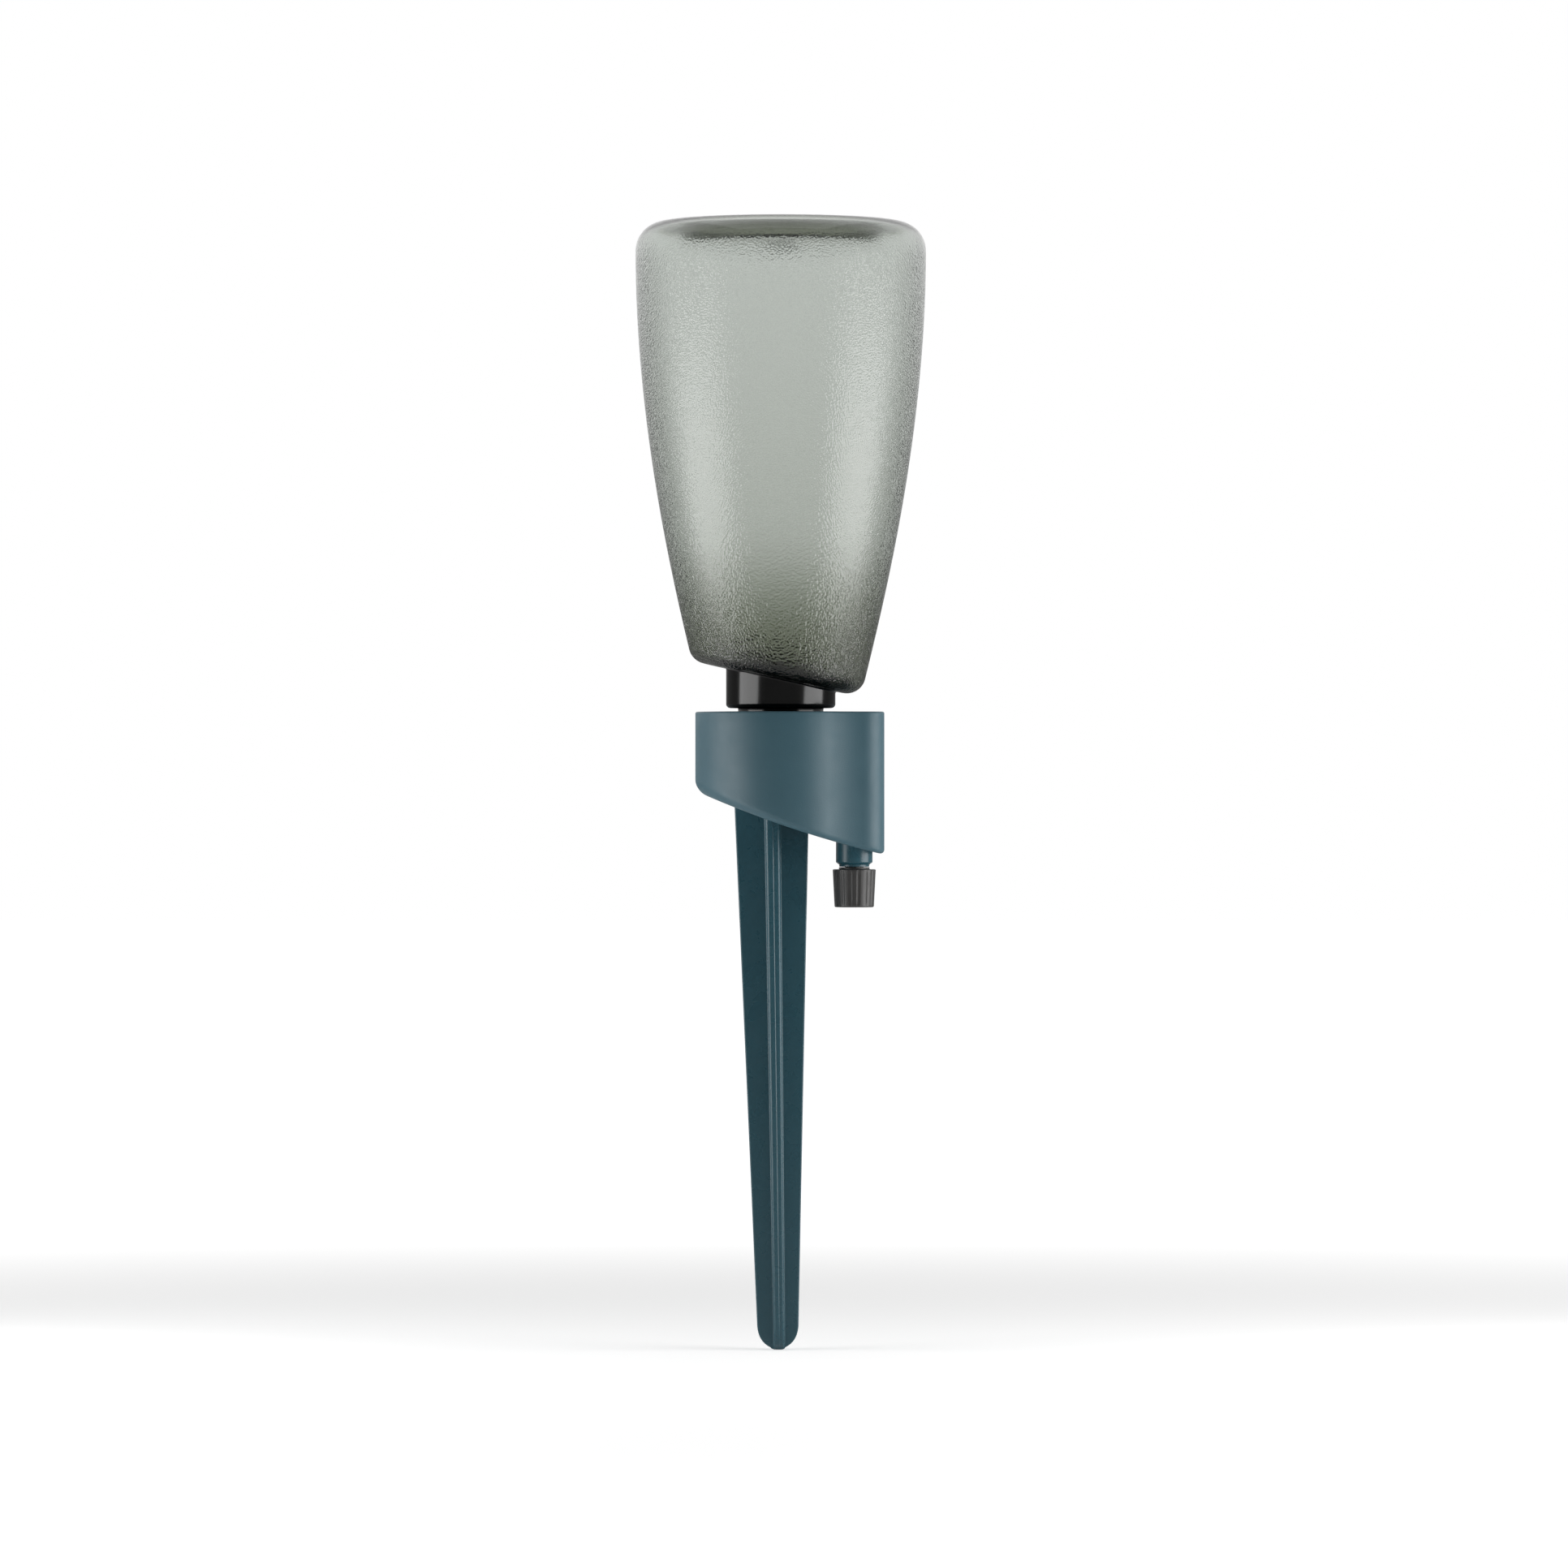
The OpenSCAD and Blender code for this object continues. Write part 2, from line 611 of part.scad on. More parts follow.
module head_shell() {
    color([0.36, 0.48, 0.53]) {
        difference() {
            union() {
                difference() {
                    head_block();
                    intersection() {
                        translate([0, 0, nipple_z])
                            linear_extrude(height = head_z - cover_t - nipple_z)
                                head_plan(head_wall);
                        above_underside(head_wall);
                    }
                    translate([0, 0, head_z - cover_t])
                        linear_extrude(height = cover_t + overrun)
                            head_plan(head_wall - ledge_w);
                }
                intersection() {
                    head_block();
                    translate([peg_x, 0, nipple_z])
                        cylinder(r = boss_r, h = boss_top_z - nipple_z);
                }
                translate([valve_x, 0, 0])
                    rotate_extrude()
                        polygon([
                            [0, nipple_end_z],
                            [nipple_end_d / 2, nipple_end_z],
                            [nipple_end_d / 2, nipple_end_z + nipple_end_h],
                            [nipple_r, nipple_z],
                            [nipple_r, tower_z],
                            [0, tower_z]
                        ]);
            }
            translate([peg_x, 0, nipple_z])
                cylinder(r = peg_r + fit_gap, h = peg_top_z + fit_gap - nipple_z);
            translate([valve_x, 0, nipple_end_z - overrun])
                cylinder(r = valve_bore_r, h = valve_thread_depth + overrun);
            translate([valve_x, 0, seal_z - overrun])
                cylinder(r = seal_bore_r, h = seal_bore_h + seat_t + overrun);
            translate([valve_x, 0, seat_z])
                cylinder(r = inlet_r, h = tower_z - seat_z + overrun);
        }
        translate([valve_x, 0, needle_thread_z + needle_pitch / 2])
            thread_ridge(valve_bore_r + needle_bite, needle_core_r + needle_thread_gap, needle_pitch,
                needle_turns, inner_thread_share, 16);
    }
}

module stake() {
    color([0.17, 0.27, 0.31]) {
        difference() {
            stake_cross();
            above_underside(-fit_gap);
        }
        intersection() {
            translate([peg_x, 0, nipple_z])
                cylinder(r = peg_r, h = peg_top_z - nipple_z);
            above_underside(-2 * fit_gap);
        }
    }
}

module needle_seat() {
    color([0.85, 0.86, 0.84])
        translate([valve_x, 0, seat_z])
            difference() {
                cylinder(r = seal_bore_r - fit_gap, h = seat_t);
                translate([0, 0, -overrun])
                    cylinder(r = seat_hole_r, h = seat_t + 2 * overrun);
            }
}

module valve_needle() {
    color([0.8, 0.8, 0.78])
        translate([valve_x, 0, 0]) {
            difference() {
                rotate_extrude()
                    polygon([
                        [0, nozzle_z],
                        [nozzle_r, nozzle_z],
                        [nozzle_r, needle_end_z],
                        [needle_core_r, needle_end_z],
                        [needle_core_r, needle_shank_z],
                        [stem_r, needle_shank_z],
                        [stem_r, groove_z],
                        [groove_r, groove_z],
                        [groove_r, groove_top_z],
                        [stem_r, groove_top_z],
                        [stem_r, cone_base_z],
                        [cone_tip_r, cone_tip_z],
                        [0, cone_tip_z]
                    ]);
                translate([0, 0, nozzle_z - overrun])
                    cylinder(r = outlet_d / 2, h = cross_hole_z - nozzle_z + overrun);
                translate([0, 0, cross_hole_z])
                    rotate([90, 0, 0])
                        cylinder(r = cross_hole_d / 2, h = 2 * stem_r + 2 * overrun, center = true);
            }
            translate([0, 0, needle_thread_z])
                thread_ridge(needle_core_r - needle_bite, needle_core_r + needle_thread_h, needle_pitch,
                    needle_turns, outer_thread_share, 16);
        }
}

module valve_oring() {
    color([0.1, 0.1, 0.1])
        translate([valve_x, 0, (groove_z + groove_top_z) / 2])
            rotate_extrude()
                translate([(groove_r + seal_bore_r) / 2, 0])
                    circle(d = oring_cord_d);
}

module valve_knob() {
    hollow_r = knob_hollow_d / 2;
    end_corner = [knob_end_r, knob_z];
    color([0.36, 0.36, 0.36])
        translate([valve_x, 0, 0])
            difference() {
                rotate_extrude()
                    polygon(concat(
                        [[0, knob_z]],
                        rounded_corner(end_corner - [knob_round, 0], end_corner,
                            end_corner + knob_round * [sin(groove_lean), cos(groove_lean)]),
                        [[knob_top_r, knob_top_z], [collar_d / 2, knob_top_z], [collar_d / 2, collar_z],
                            [0, collar_z]]
                    ));
                translate([0, 0, knob_z - overrun])
                    cylinder(r = needle_core_r + fit_gap, h = knob_h + collar_h + 2 * overrun);
                translate([0, 0, knob_z - overrun])
                    cylinder(r = hollow_r, h = knob_hollow_h + overrun);
                for (i = [0:groove_count - 1])
                    rotate([0, 0, 360 * (i + 0.5) / groove_count])
                        translate([knob_end_r - groove_depth + groove_cutter_r, 0, knob_z])
                            rotate([0, groove_lean, 0])
                                translate([0, 0, knob_h / 2])
                                    cylinder(r = groove_cutter_r, h = knob_h + 2 * overrun, center = true);
            }
}

bottle();
neck_washer();
inlet_strainer();
socket_cover();
head_shell();
stake();
needle_seat();
valve_needle();
valve_oring();
valve_knob();
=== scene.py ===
# A drip watering spike: an upturned smoke-grey bottle in a slanted blue-grey head on a long stake,
# with a needle valve under the head's nose. Metres, +Z up, +X towards the valve, soil at Z = 0.
import math

import bmesh
import bpy
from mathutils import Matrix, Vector


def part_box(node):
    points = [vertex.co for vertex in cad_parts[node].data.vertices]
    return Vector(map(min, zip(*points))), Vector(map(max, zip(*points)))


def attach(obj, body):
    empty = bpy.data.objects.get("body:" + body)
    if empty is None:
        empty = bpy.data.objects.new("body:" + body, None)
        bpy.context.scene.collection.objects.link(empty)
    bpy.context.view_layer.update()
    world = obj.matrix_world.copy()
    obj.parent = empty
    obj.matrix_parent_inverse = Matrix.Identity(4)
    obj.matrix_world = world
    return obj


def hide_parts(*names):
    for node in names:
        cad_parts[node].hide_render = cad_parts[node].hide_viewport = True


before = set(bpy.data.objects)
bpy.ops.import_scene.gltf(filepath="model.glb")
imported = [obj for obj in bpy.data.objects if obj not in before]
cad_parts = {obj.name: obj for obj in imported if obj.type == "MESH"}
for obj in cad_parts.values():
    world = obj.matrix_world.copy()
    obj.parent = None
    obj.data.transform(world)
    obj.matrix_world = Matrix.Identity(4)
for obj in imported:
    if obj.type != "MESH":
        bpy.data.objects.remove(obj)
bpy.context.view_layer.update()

mm = 0.001


# The head shell: the slanted, hollow head with the valve's nipple under its nose. It is injection
# moulded in satin blue-grey plastic. Its edges are rounded, widest along the slanted underside.
def round_turns(count):
    """Angles spread evenly round an axis."""
    return [2 * math.pi * i / count for i in range(count)]


def point_at(r, turn, z, centre_x=0):
    """The point at a distance from an upright axis, at an angle and a height."""
    return Vector((centre_x + r * math.cos(turn), r * math.sin(turn), z))


def level_ring(r, z, sides, centre_x=0):
    """A level ring of points, or one point where the radius is 0."""
    return [point_at(r, turn, z, centre_x) for turn in (round_turns(sides) if r else [0])]


def arc(centre, start, sweep, steps):
    """Points on an arc round a centre. The start is taken from the centre."""
    side = Vector((-start.y, start.x))
    turns = [sweep * k / steps for k in range(steps + 1)]
    return [centre + start * math.cos(turn) + side * math.sin(turn) for turn in turns]


def rounded(corners, closed=False, steps=4):
    """A line through corners of (x, y, rounding), with an arc in place of each rounded corner. The
    arc takes less than half of a side, so that two arcs on one side never meet."""
    line = []
    for i, (x, y, radius) in enumerate(corners):
        corner = Vector((x, y))
        if radius == 0 or not closed and i in (0, len(corners) - 1):
            line.append(corner)
            continue
        to_last = Vector(corners[i - 1][:2]) - corner
        to_next = Vector(corners[(i + 1) % len(corners)][:2]) - corner
        half = to_last.angle(to_next) / 2
        reach = min(radius / math.tan(half), 0.45 * to_last.length, 0.45 * to_next.length)
        middle = (to_last.normalized() + to_next.normalized()).normalized()
        centre = corner + middle * reach / math.cos(half)
        start = corner + to_last.normalized() * reach - centre
        end = corner + to_next.normalized() * reach - centre
        sweep = math.copysign(math.pi - 2 * half, start.x * end.y - start.y * end.x)
        line += arc(centre, start, sweep, steps)
    return line


def skin(name, rings, loop=False):
    """A closed skin over rings of points. A ring of one point is a pole, and a loop's last ring
    joins its first."""
    points = []
    starts = []
    faces = []
    for ring in rings:
        starts.append(len(points))
        points.extend(ring)
    for a in range(len(rings) if loop else len(rings) - 1):
        b = (a + 1) % len(rings)
        count = max(len(rings[a]), len(rings[b]))
        for i in range(count):
            j = (i + 1) % count
            lower = [starts[a] + i, starts[a] + j] if len(rings[a]) > 1 else [starts[a]]
            upper = [starts[b] + j, starts[b] + i] if len(rings[b]) > 1 else [starts[b]]
            faces.append(lower + upper)
    mesh = bpy.data.meshes.new(name)
    mesh.from_pydata(points, [], faces)
    shell = bmesh.new()
    shell.from_mesh(mesh)
    if shell.calc_volume(signed=True) < 0:
        bmesh.ops.reverse_faces(shell, faces=shell.faces)
    shell.to_mesh(mesh)
    shell.free()
    piece = bpy.data.objects.new(name, mesh)
    bpy.context.collection.objects.link(piece)
    return piece


def turned(name, outline, centre_x=0, sides=96, loop=False):
    """A turned piece: an outline of (radius, height) points, taken round an upright axis."""
    return skin(name, [level_ring(r, z, sides, centre_x) for r, z in outline], loop)


def settle(piece):
    """Puts what the piece's modifiers do into its own plain mesh."""
    view_layer = bpy.context.evaluated_depsgraph_get()
    made = bpy.data.meshes.new_from_object(piece.evaluated_get(view_layer))
    piece.modifiers.clear()
    piece.data = made


def carve(piece, tool, operation):
    """Adds another solid to the piece or cuts it from the piece. The other solid is used up."""
    step = piece.modifiers.new(operation, "BOOLEAN")
    step.operation = operation
    step.solver = "EXACT"
    step.material_mode = "TRANSFER"
    step.object = tool
    settle(piece)
    bpy.data.objects.remove(tool)


def smooth(piece, crease=35):
    """Smooth faces, with sharp edges past the crease angle."""
    piece.data.shade_smooth()
    piece.data.set_sharp_from_angle(angle=math.radians(crease))


def shade(piece, material, crease=35):
    """Gives the piece its one material, and smooth faces."""
    piece.data.materials.clear()
    piece.data.materials.append(material)
    smooth(piece, crease)


def fill(tree, made, sockets):
    """Gives a node's inputs their values, or links from the outputs of other nodes."""
    for key, value in sockets.items():
        if isinstance(value, bpy.types.NodeSocket):
            tree.links.new(value, made.inputs[key])
        else:
            made.inputs[key].default_value = value


def node(tree, kind, sockets=None, **settings):
    """A new node with its settings and its inputs."""
    made = tree.nodes.new(kind)
    for key, value in settings.items():
        setattr(made, key, value)
    fill(tree, made, sockets or {})
    return made


def reckoned(tree, operation, a, b=0):
    """What an operation makes of two numbers or outputs."""
    return node(tree, "ShaderNodeMath", {0: a, 1: b}, operation=operation).outputs[0]


def faded(tree, value, start, end, low=0, high=1, curve="LINEAR"):
    """A number that runs from low to high while the value runs from start to end."""
    sockets = {"Value": value, "From Min": start, "From Max": end, "To Min": low, "To Max": high}
    return node(tree, "ShaderNodeMapRange", sockets, interpolation_type=curve).outputs["Result"]


def mixed(tree, share, a, b, kind="RGBA"):
    """A mix of two colours, or of two numbers."""
    sockets = {"Factor": share, "A": a, "B": b}
    return node(tree, "ShaderNodeMix", sockets, data_type=kind).outputs["Result"]


def object_place(tree):
    """The place on the object, in metres."""
    return node(tree, "ShaderNodeTexCoord").outputs["Object"]


def noise(tree, place, size, detail=2.0, distortion=0.0):
    """A noise pattern with features of that size, in metres."""
    sockets = {"Vector": place, "Scale": 1 / size, "Detail": detail, "Distortion": distortion}
    return node(tree, "ShaderNodeTexNoise", sockets).outputs["Fac"]


def moulded_surface():
    """What every moulded piece shows close up: fine spark-eroded grain, flow clouds in the colour,
    and rubbed patches in the gloss."""
    cloud_size = 14 * mm
    rubbed_size = 5 * mm
    group = bpy.data.node_groups.new("moulded surface", "ShaderNodeTree")
    group.interface.new_socket("Grain size", in_out="INPUT", socket_type="NodeSocketFloat")
    for name in ("Grain", "Clouds", "Rubbed"):
        group.interface.new_socket(name, in_out="OUTPUT", socket_type="NodeSocketFloat")
    place = object_place(group)
    per_metre = reckoned(group, "DIVIDE", 1, node(group, "NodeGroupInput").outputs["Grain size"])
    grain = node(group, "ShaderNodeTexNoise", {"Vector": place, "Scale": per_metre, "Detail": 1})
    node(group, "NodeGroupOutput", {
        "Grain": grain.outputs["Fac"], "Clouds": noise(group, place, cloud_size, 3),
        "Rubbed": noise(group, place, rubbed_size, 4, 0.6)})
    return group


surface_group = moulded_surface()


def new_material(name):
    """A new material, its tree and its shader."""
    material = bpy.data.materials.new(name)
    material.use_nodes = True
    return material, material.node_tree, material.node_tree.nodes["Principled BSDF"]


def plastic(name, deep, pale, gloss, grain_size, grain_depth):
    """A moulded plastic. Its colour drifts between deep and pale and its roughness between the
    two values of gloss, and grain of that size and depth covers it."""
    material, tree, shader = new_material(name)
    seen = node(tree, "ShaderNodeGroup", {"Grain size": grain_size}, node_tree=surface_group).outputs
    bump = node(tree, "ShaderNodeBump", {"Distance": grain_depth, "Height": seen["Grain"]})
    fill(tree, shader, {
        "Base Color": mixed(tree, seen["Clouds"], (*deep, 1), (*pale, 1)),
        "Roughness": faded(tree, seen["Rubbed"], 0.3, 0.7, *gloss), "Normal": bump.outputs["Normal"]})
    return material


head_plastic = plastic("satin blue-grey plastic", (0.038, 0.096, 0.124), (0.050, 0.116, 0.146),
                       (0.42, 0.52), 0.35 * mm, 0.02 * mm)
head_low, head_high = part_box("head_shell")
head_z = head_high.z
head_r = -head_low.x
head_reach = head_high.x
nose_r = 7 * mm
nose_w = 33 * mm
hollow_r = 30 * mm
nose_corner = Vector((head_reach - nose_r, nose_w / 2 - nose_r))
head_back_h = 23.1 * mm
head_nose_h = 41.7 * mm
under_sag = 1.35 * mm
head_wall = 2.2 * mm
ledge_w = 1 * mm
cover_t = 2 * mm
rim_inset = head_wall - ledge_w
rim_round = 1.5 * mm
rim_h = 4 * mm
back_round = 3.2 * mm
nose_round = 1.5 * mm
head_sides = 240


def underside_z(x):
    """Height of the head's slanted underside."""
    share = (x + head_r) / (head_r + head_reach)
    drop = head_back_h + (head_nose_h - head_back_h) * share + 4 * under_sag * share * (1 - share)
    return head_z - drop


def hollow_centre():
    """Centre of the hollow flank, which runs on from the round head and into the nose's corner."""
    to_head = head_r + hollow_r
    to_corner = nose_r + hollow_r
    span = nose_corner.length
    along = (to_head ** 2 - to_corner ** 2 + span ** 2) / (2 * span)
    across = math.sqrt(to_head ** 2 - along ** 2)
    way = nose_corner / span
    return way * along + Vector((-way.y, way.x)) * across


flank = hollow_centre()


def plan_radius(turn, inset):
    """Distance from the bottle's axis to the head's outline, moved inwards: the round head, the
    hollow flanks, and the blunt nose with its rounded corners."""
    turn = abs(math.remainder(turn, 2 * math.pi))
    if turn >= math.atan2(flank.y, flank.x):
        return head_r - inset
    way = Vector((math.cos(turn), math.sin(turn)))
    joint = nose_corner + (flank - nose_corner).normalized() * (nose_r - inset)
    if turn >= math.atan2(joint.y, joint.x):
        side = flank.x * way.y - flank.y * way.x
        return flank.dot(way) - math.sqrt((hollow_r + inset) ** 2 - side ** 2)
    front = head_reach - inset
    if turn <= math.atan2(nose_corner.y, front):
        return front / way.x
    side = nose_corner.x * way.y - nose_corner.y * way.x
    return nose_corner.dot(way) + math.sqrt((nose_r - inset) ** 2 - side ** 2)


def head_ring(inset, height_at):
    """A ring round the head, moved inwards, at a height that may depend on x."""
    ring = []
    for turn in round_turns(head_sides):
        reach = plan_radius(turn, inset)
        ring.append(point_at(reach, turn, height_at(reach * math.cos(turn))))
    return ring


def under_rings(inset, radius_at, lift):
    """Rings round the lower edge of the head and over its underside, to the pole on the axis."""
    rings = []
    steps = 7
    for k in range(steps + 1):
        turn = math.pi / 2 * k / steps
        ring = []
        for way in round_turns(head_sides):
            radius = radius_at(way)
            reach = plan_radius(way, inset + radius * (1 - math.cos(turn)))
            z = underside_z(reach * math.cos(way)) + lift + radius * (1 - math.sin(turn))
            ring.append(point_at(reach, way, z))
        rings.append(ring)
    last = rings[-1]
    for share in (0.85, 0.7, 0.55, 0.4, 0.25, 0.12):
        rings.append([Vector((p.x * share, p.y * share, underside_z(p.x * share) + lift)) for p in last])
    rings.append([Vector((0, 0, underside_z(0) + lift))])
    return rings


def edge_round(way):
    """Rounding of the underside's edge, wider at the back than at the nose."""
    return back_round + (nose_round - back_round) * (1 + math.cos(way)) / 2


top_rings = []
for inset, z in rounded([(head_wall, head_z - 2 * cover_t, 0), (head_wall, head_z - cover_t, 0),
                         (rim_inset, head_z - cover_t, 0), (rim_inset, head_z, 0.2 * mm),
                         (0, head_z, rim_round), (0, head_z - rim_h, 0)], steps=6):
    top_rings.append(head_ring(inset, lambda x: z))
inner_rings = under_rings(head_wall, lambda way: nose_round / 2, head_wall)
head = skin("head_body", inner_rings[::-1] + top_rings + under_rings(0, edge_round, 0))

knob_low, knob_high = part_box("valve_knob")
valve_x = (knob_low.x + knob_high.x) / 2
seat_low, seat_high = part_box("needle_seat")
seat_z = seat_low.z
seat_t = seat_high.z - seat_low.z
nipple_end_z = head_low.z
nipple_r = 5.35 * mm
nipple_end_r = 4.4 * mm
nipple_end_h = 0.6 * mm
nipple_taper_h = 1.3 * mm
tower_z = seat_z + 1.5 * seat_t
thread_bore_r = 3.3 * mm
thread_depth = 5.5 * mm
seal_bore_r = 2.4 * mm
inlet_r = 1.75 * mm
overcut = 1 * mm
nipple = turned("nipple", rounded([
    (0, nipple_end_z, 0), (nipple_end_r, nipple_end_z, 0.15 * mm),
    (nipple_end_r, nipple_end_z + nipple_end_h, 0.1 * mm),
    (nipple_r, nipple_end_z + nipple_taper_h, 0.3 * mm),
    (nipple_r, tower_z, 0.3 * mm), (0, tower_z, 0)]), valve_x)
# The nipple and the stake: the head's plastic, glossier, with its colour painted darker as the shade under
# the head and beside the rib.
polished_shaded_plastic = plastic("polished blue-grey plastic painted darker as shade", (0.018, 0.071, 0.094), (0.026, 0.084, 0.110),
                           (0.24, 0.34), 0.5 * mm, 0.004 * mm)
head.data.materials.append(head_plastic)
nipple.data.materials.append(polished_shaded_plastic)
carve(head, nipple, "UNION")
peg_x = -2.4 * mm
peg_r = 4.5 * mm
stake_low, stake_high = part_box("stake")
peg_top_z = stake_high.z
press_gap = 0.05 * mm


def peg_post(name, radius, lift, post_top_z):
    """A round post round the peg's axis, cut off below along the slanted underside."""
    post = turned(name, [(0, 0), (radius, 0), (radius, post_top_z), (0, post_top_z)], peg_x)
    for vertex in post.data.vertices:
        if vertex.co.z == 0:
            vertex.co.z = underside_z(vertex.co.x) + lift
    return post


carve(head, peg_post("boss", peg_r + head_wall, head_wall / 2, peg_top_z + head_wall), "UNION")
carve(head, peg_post("peg_socket", peg_r + press_gap, -overcut, peg_top_z + press_gap), "DIFFERENCE")
carve(head, turned("valve_bore", [
    (0, nipple_end_z - overcut), (thread_bore_r, nipple_end_z - overcut),
    (thread_bore_r, nipple_end_z + thread_depth), (seal_bore_r, nipple_end_z + thread_depth),
    (seal_bore_r, seat_z + seat_t), (inlet_r, seat_z + seat_t),
    (inlet_r, tower_z + overcut), (0, tower_z + overcut)], valve_x), "DIFFERENCE")
smooth(head)
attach(head, "spike")
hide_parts("head_shell")


# The stake: a long moulding with a cross section, in the head's blue plastic but glossier, its colour
# painted darker as shade. Its peg is pressed into the head's boss, and its fins taper down to a rounded
# tip.
tip_z = stake_low.z
tip_h = 6.9 * mm
tip_start_z = tip_z + tip_h
blade_t = 3 * mm
blade_back = 13.3 * mm
blade_front = 8.1 * mm
tip_back = 6.9 * mm
tip_front = 5.2 * mm
tip_x = (tip_front - tip_back) / 2
tip_half = (tip_front + tip_back) / 2
rib_t = 4.2 * mm
rib_w = 21 * mm
rib_tip_t = 2.9 * mm
rib_tip_w = 12 * mm
rib_tip_x = -0.5 * mm
rib_step = 0.2 * mm
rib_round = 0.9 * mm
step_round = 0.08 * mm
fin_edge = 0.45 * mm
fin_root = 0.5 * mm
fin_least = 0.02 * mm
stake_rows = 40


def tapered(z, at_head, at_tip):
    """A measure of the stake at a height, on its straight taper from the head to the tip."""
    share = (z - tip_start_z) / (underside_z(0) - tip_start_z)
    return at_tip + (at_head - at_tip) * share


def cross_ring(back, front, depth, x, thick, height_at):
    """The stake's outline: a blade along x and a rib along y, with rounded edges and roots. The two
    halves of the mould leave a small step down the middle of the rib."""
    t = blade_t / 2
    left = x - thick / 2
    right = x + thick / 2
    low = depth - rib_step
    corners = [
        (front, -t, fin_edge), (front, t, fin_edge), (right, t, fin_root), (right, low, rib_round),
        (x + rib_step, low, step_round), (x, depth, step_round), (left, depth, rib_round),
        (left, t, fin_root), (-back, t, fin_edge), (-back, -t, fin_edge), (left, -t, fin_root),
        (left, -depth, rib_round), (x, -depth, step_round), (x + rib_step, -low, step_round),
        (right, -low, rib_round), (right, -t, fin_root)]
    return [Vector((p.x, p.y, height_at(p.x))) for p in rounded(corners, closed=True)]


def blade_height(share):
    """Height of a row of the stake: level at the tip, slanted like the head at its top."""
    return lambda x: tip_start_z + share * (underside_z(x) - press_gap - tip_start_z)


stake_rings = []
for k in range(stake_rows + 1):
    height_at = blade_height(1 - k / stake_rows)
    back = blade_back
    front = blade_front
    for again in range(3):
        back = tapered(height_at(-back), blade_back, tip_back)
        front = tapered(height_at(front), blade_front, tip_front)
    x = tapered(height_at(0), peg_x, rib_tip_x)
    thick = tapered(height_at(x), rib_t, rib_tip_t)
    depth = tapered(height_at(x), rib_w, rib_tip_w) / 2
    stake_rings.append(cross_ring(back, front, depth, x, thick, height_at))

# The tip: rows down a curve of (side, height), and then two small rings and a point.
tip_curve = [(1, 1), (0.95, 0.49), (0.68, 0.13), (0, 0)]
tip_rows = 10
for k in range(1, tip_rows - 1):
    t = k / tip_rows
    weights = ((1 - t) ** 3, 3 * (1 - t) ** 2 * t, 3 * (1 - t) * t * t, t ** 3)
    side = sum(w * p[0] for w, p in zip(weights, tip_curve))
    rise = tip_z + tip_h * sum(w * p[1] for w, p in zip(weights, tip_curve))
    back = max(side * tip_half - tip_x, rib_tip_t / 2 - rib_tip_x + fin_least)
    front = max(side * tip_half + tip_x, rib_tip_t / 2 + rib_tip_x + fin_least)
    depth = max(side * rib_tip_w / 2, blade_t / 2 + rib_step + fin_least)
    stake_rings.append(cross_ring(back, front, depth, rib_tip_x, rib_tip_t, lambda x: rise))
blunt = stake_rings[-1]
for scale, share in ((0.88, 0.5), (0.6, 0.12)):
    stake_rings.append([Vector((rib_tip_x + (p.x - rib_tip_x) * scale, p.y * scale,
                                tip_z + (p.z - tip_z) * share)) for p in blunt])
stake_rings.append([Vector((rib_tip_x, 0, tip_z))])
top_middle = sum(stake_rings[0], Vector()) / len(stake_rings[0])
stake = skin("stake_blade", [[top_middle]] + stake_rings)
carve(stake, peg_post("peg", peg_r, -2 * press_gap, peg_top_z), "UNION")
shade(stake, polished_shaded_plastic, 28)
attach(stake, "spike")
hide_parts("stake")


# The needle seat: a small silicone ring, pressed in at the top of the nipple's bore. The cone of
# the needle closes its hole.
seat_r = (seat_high.x - seat_low.x) / 2
seat_hole_r = 1.1 * mm


def flat_ring(name, bore, rim, low_z, high_z, centre_x=0):
    """A turned ring with a bore and a rim of (radius, rounding)."""
    corners = [(bore[0], low_z, bore[1]), (rim[0], low_z, rim[1]),
               (rim[0], high_z, rim[1]), (bore[0], high_z, bore[1])]
    return turned(name, rounded(corners, closed=True), centre_x, loop=True)


seat = flat_ring("needle_seat_ring", (seat_hole_r, 0.15 * mm), (seat_r, 0.1 * mm),
                 seat_z, seat_z + seat_t, valve_x)
silicone = plastic("pale silicone", (0.55, 0.57, 0.54), (0.64, 0.66, 0.63), (0.55, 0.7),
                   0.3 * mm, 0.01 * mm)
shade(seat, silicone)
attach(seat, "spike")
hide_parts("needle_seat")


# The inlet strainer: a disc of crossing bars in a flat rim, moulded in pale grey plastic and laid
# in the cup's floor, where it keeps grit out of the valve.
strainer_low, strainer_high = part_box("inlet_strainer")
strainer_r = strainer_high.x
strainer_t = strainer_high.z - strainer_low.z
strainer_rim_w = 2 * mm
strainer_mesh_r = strainer_r - strainer_rim_w
strainer_edge = 0.1 * mm


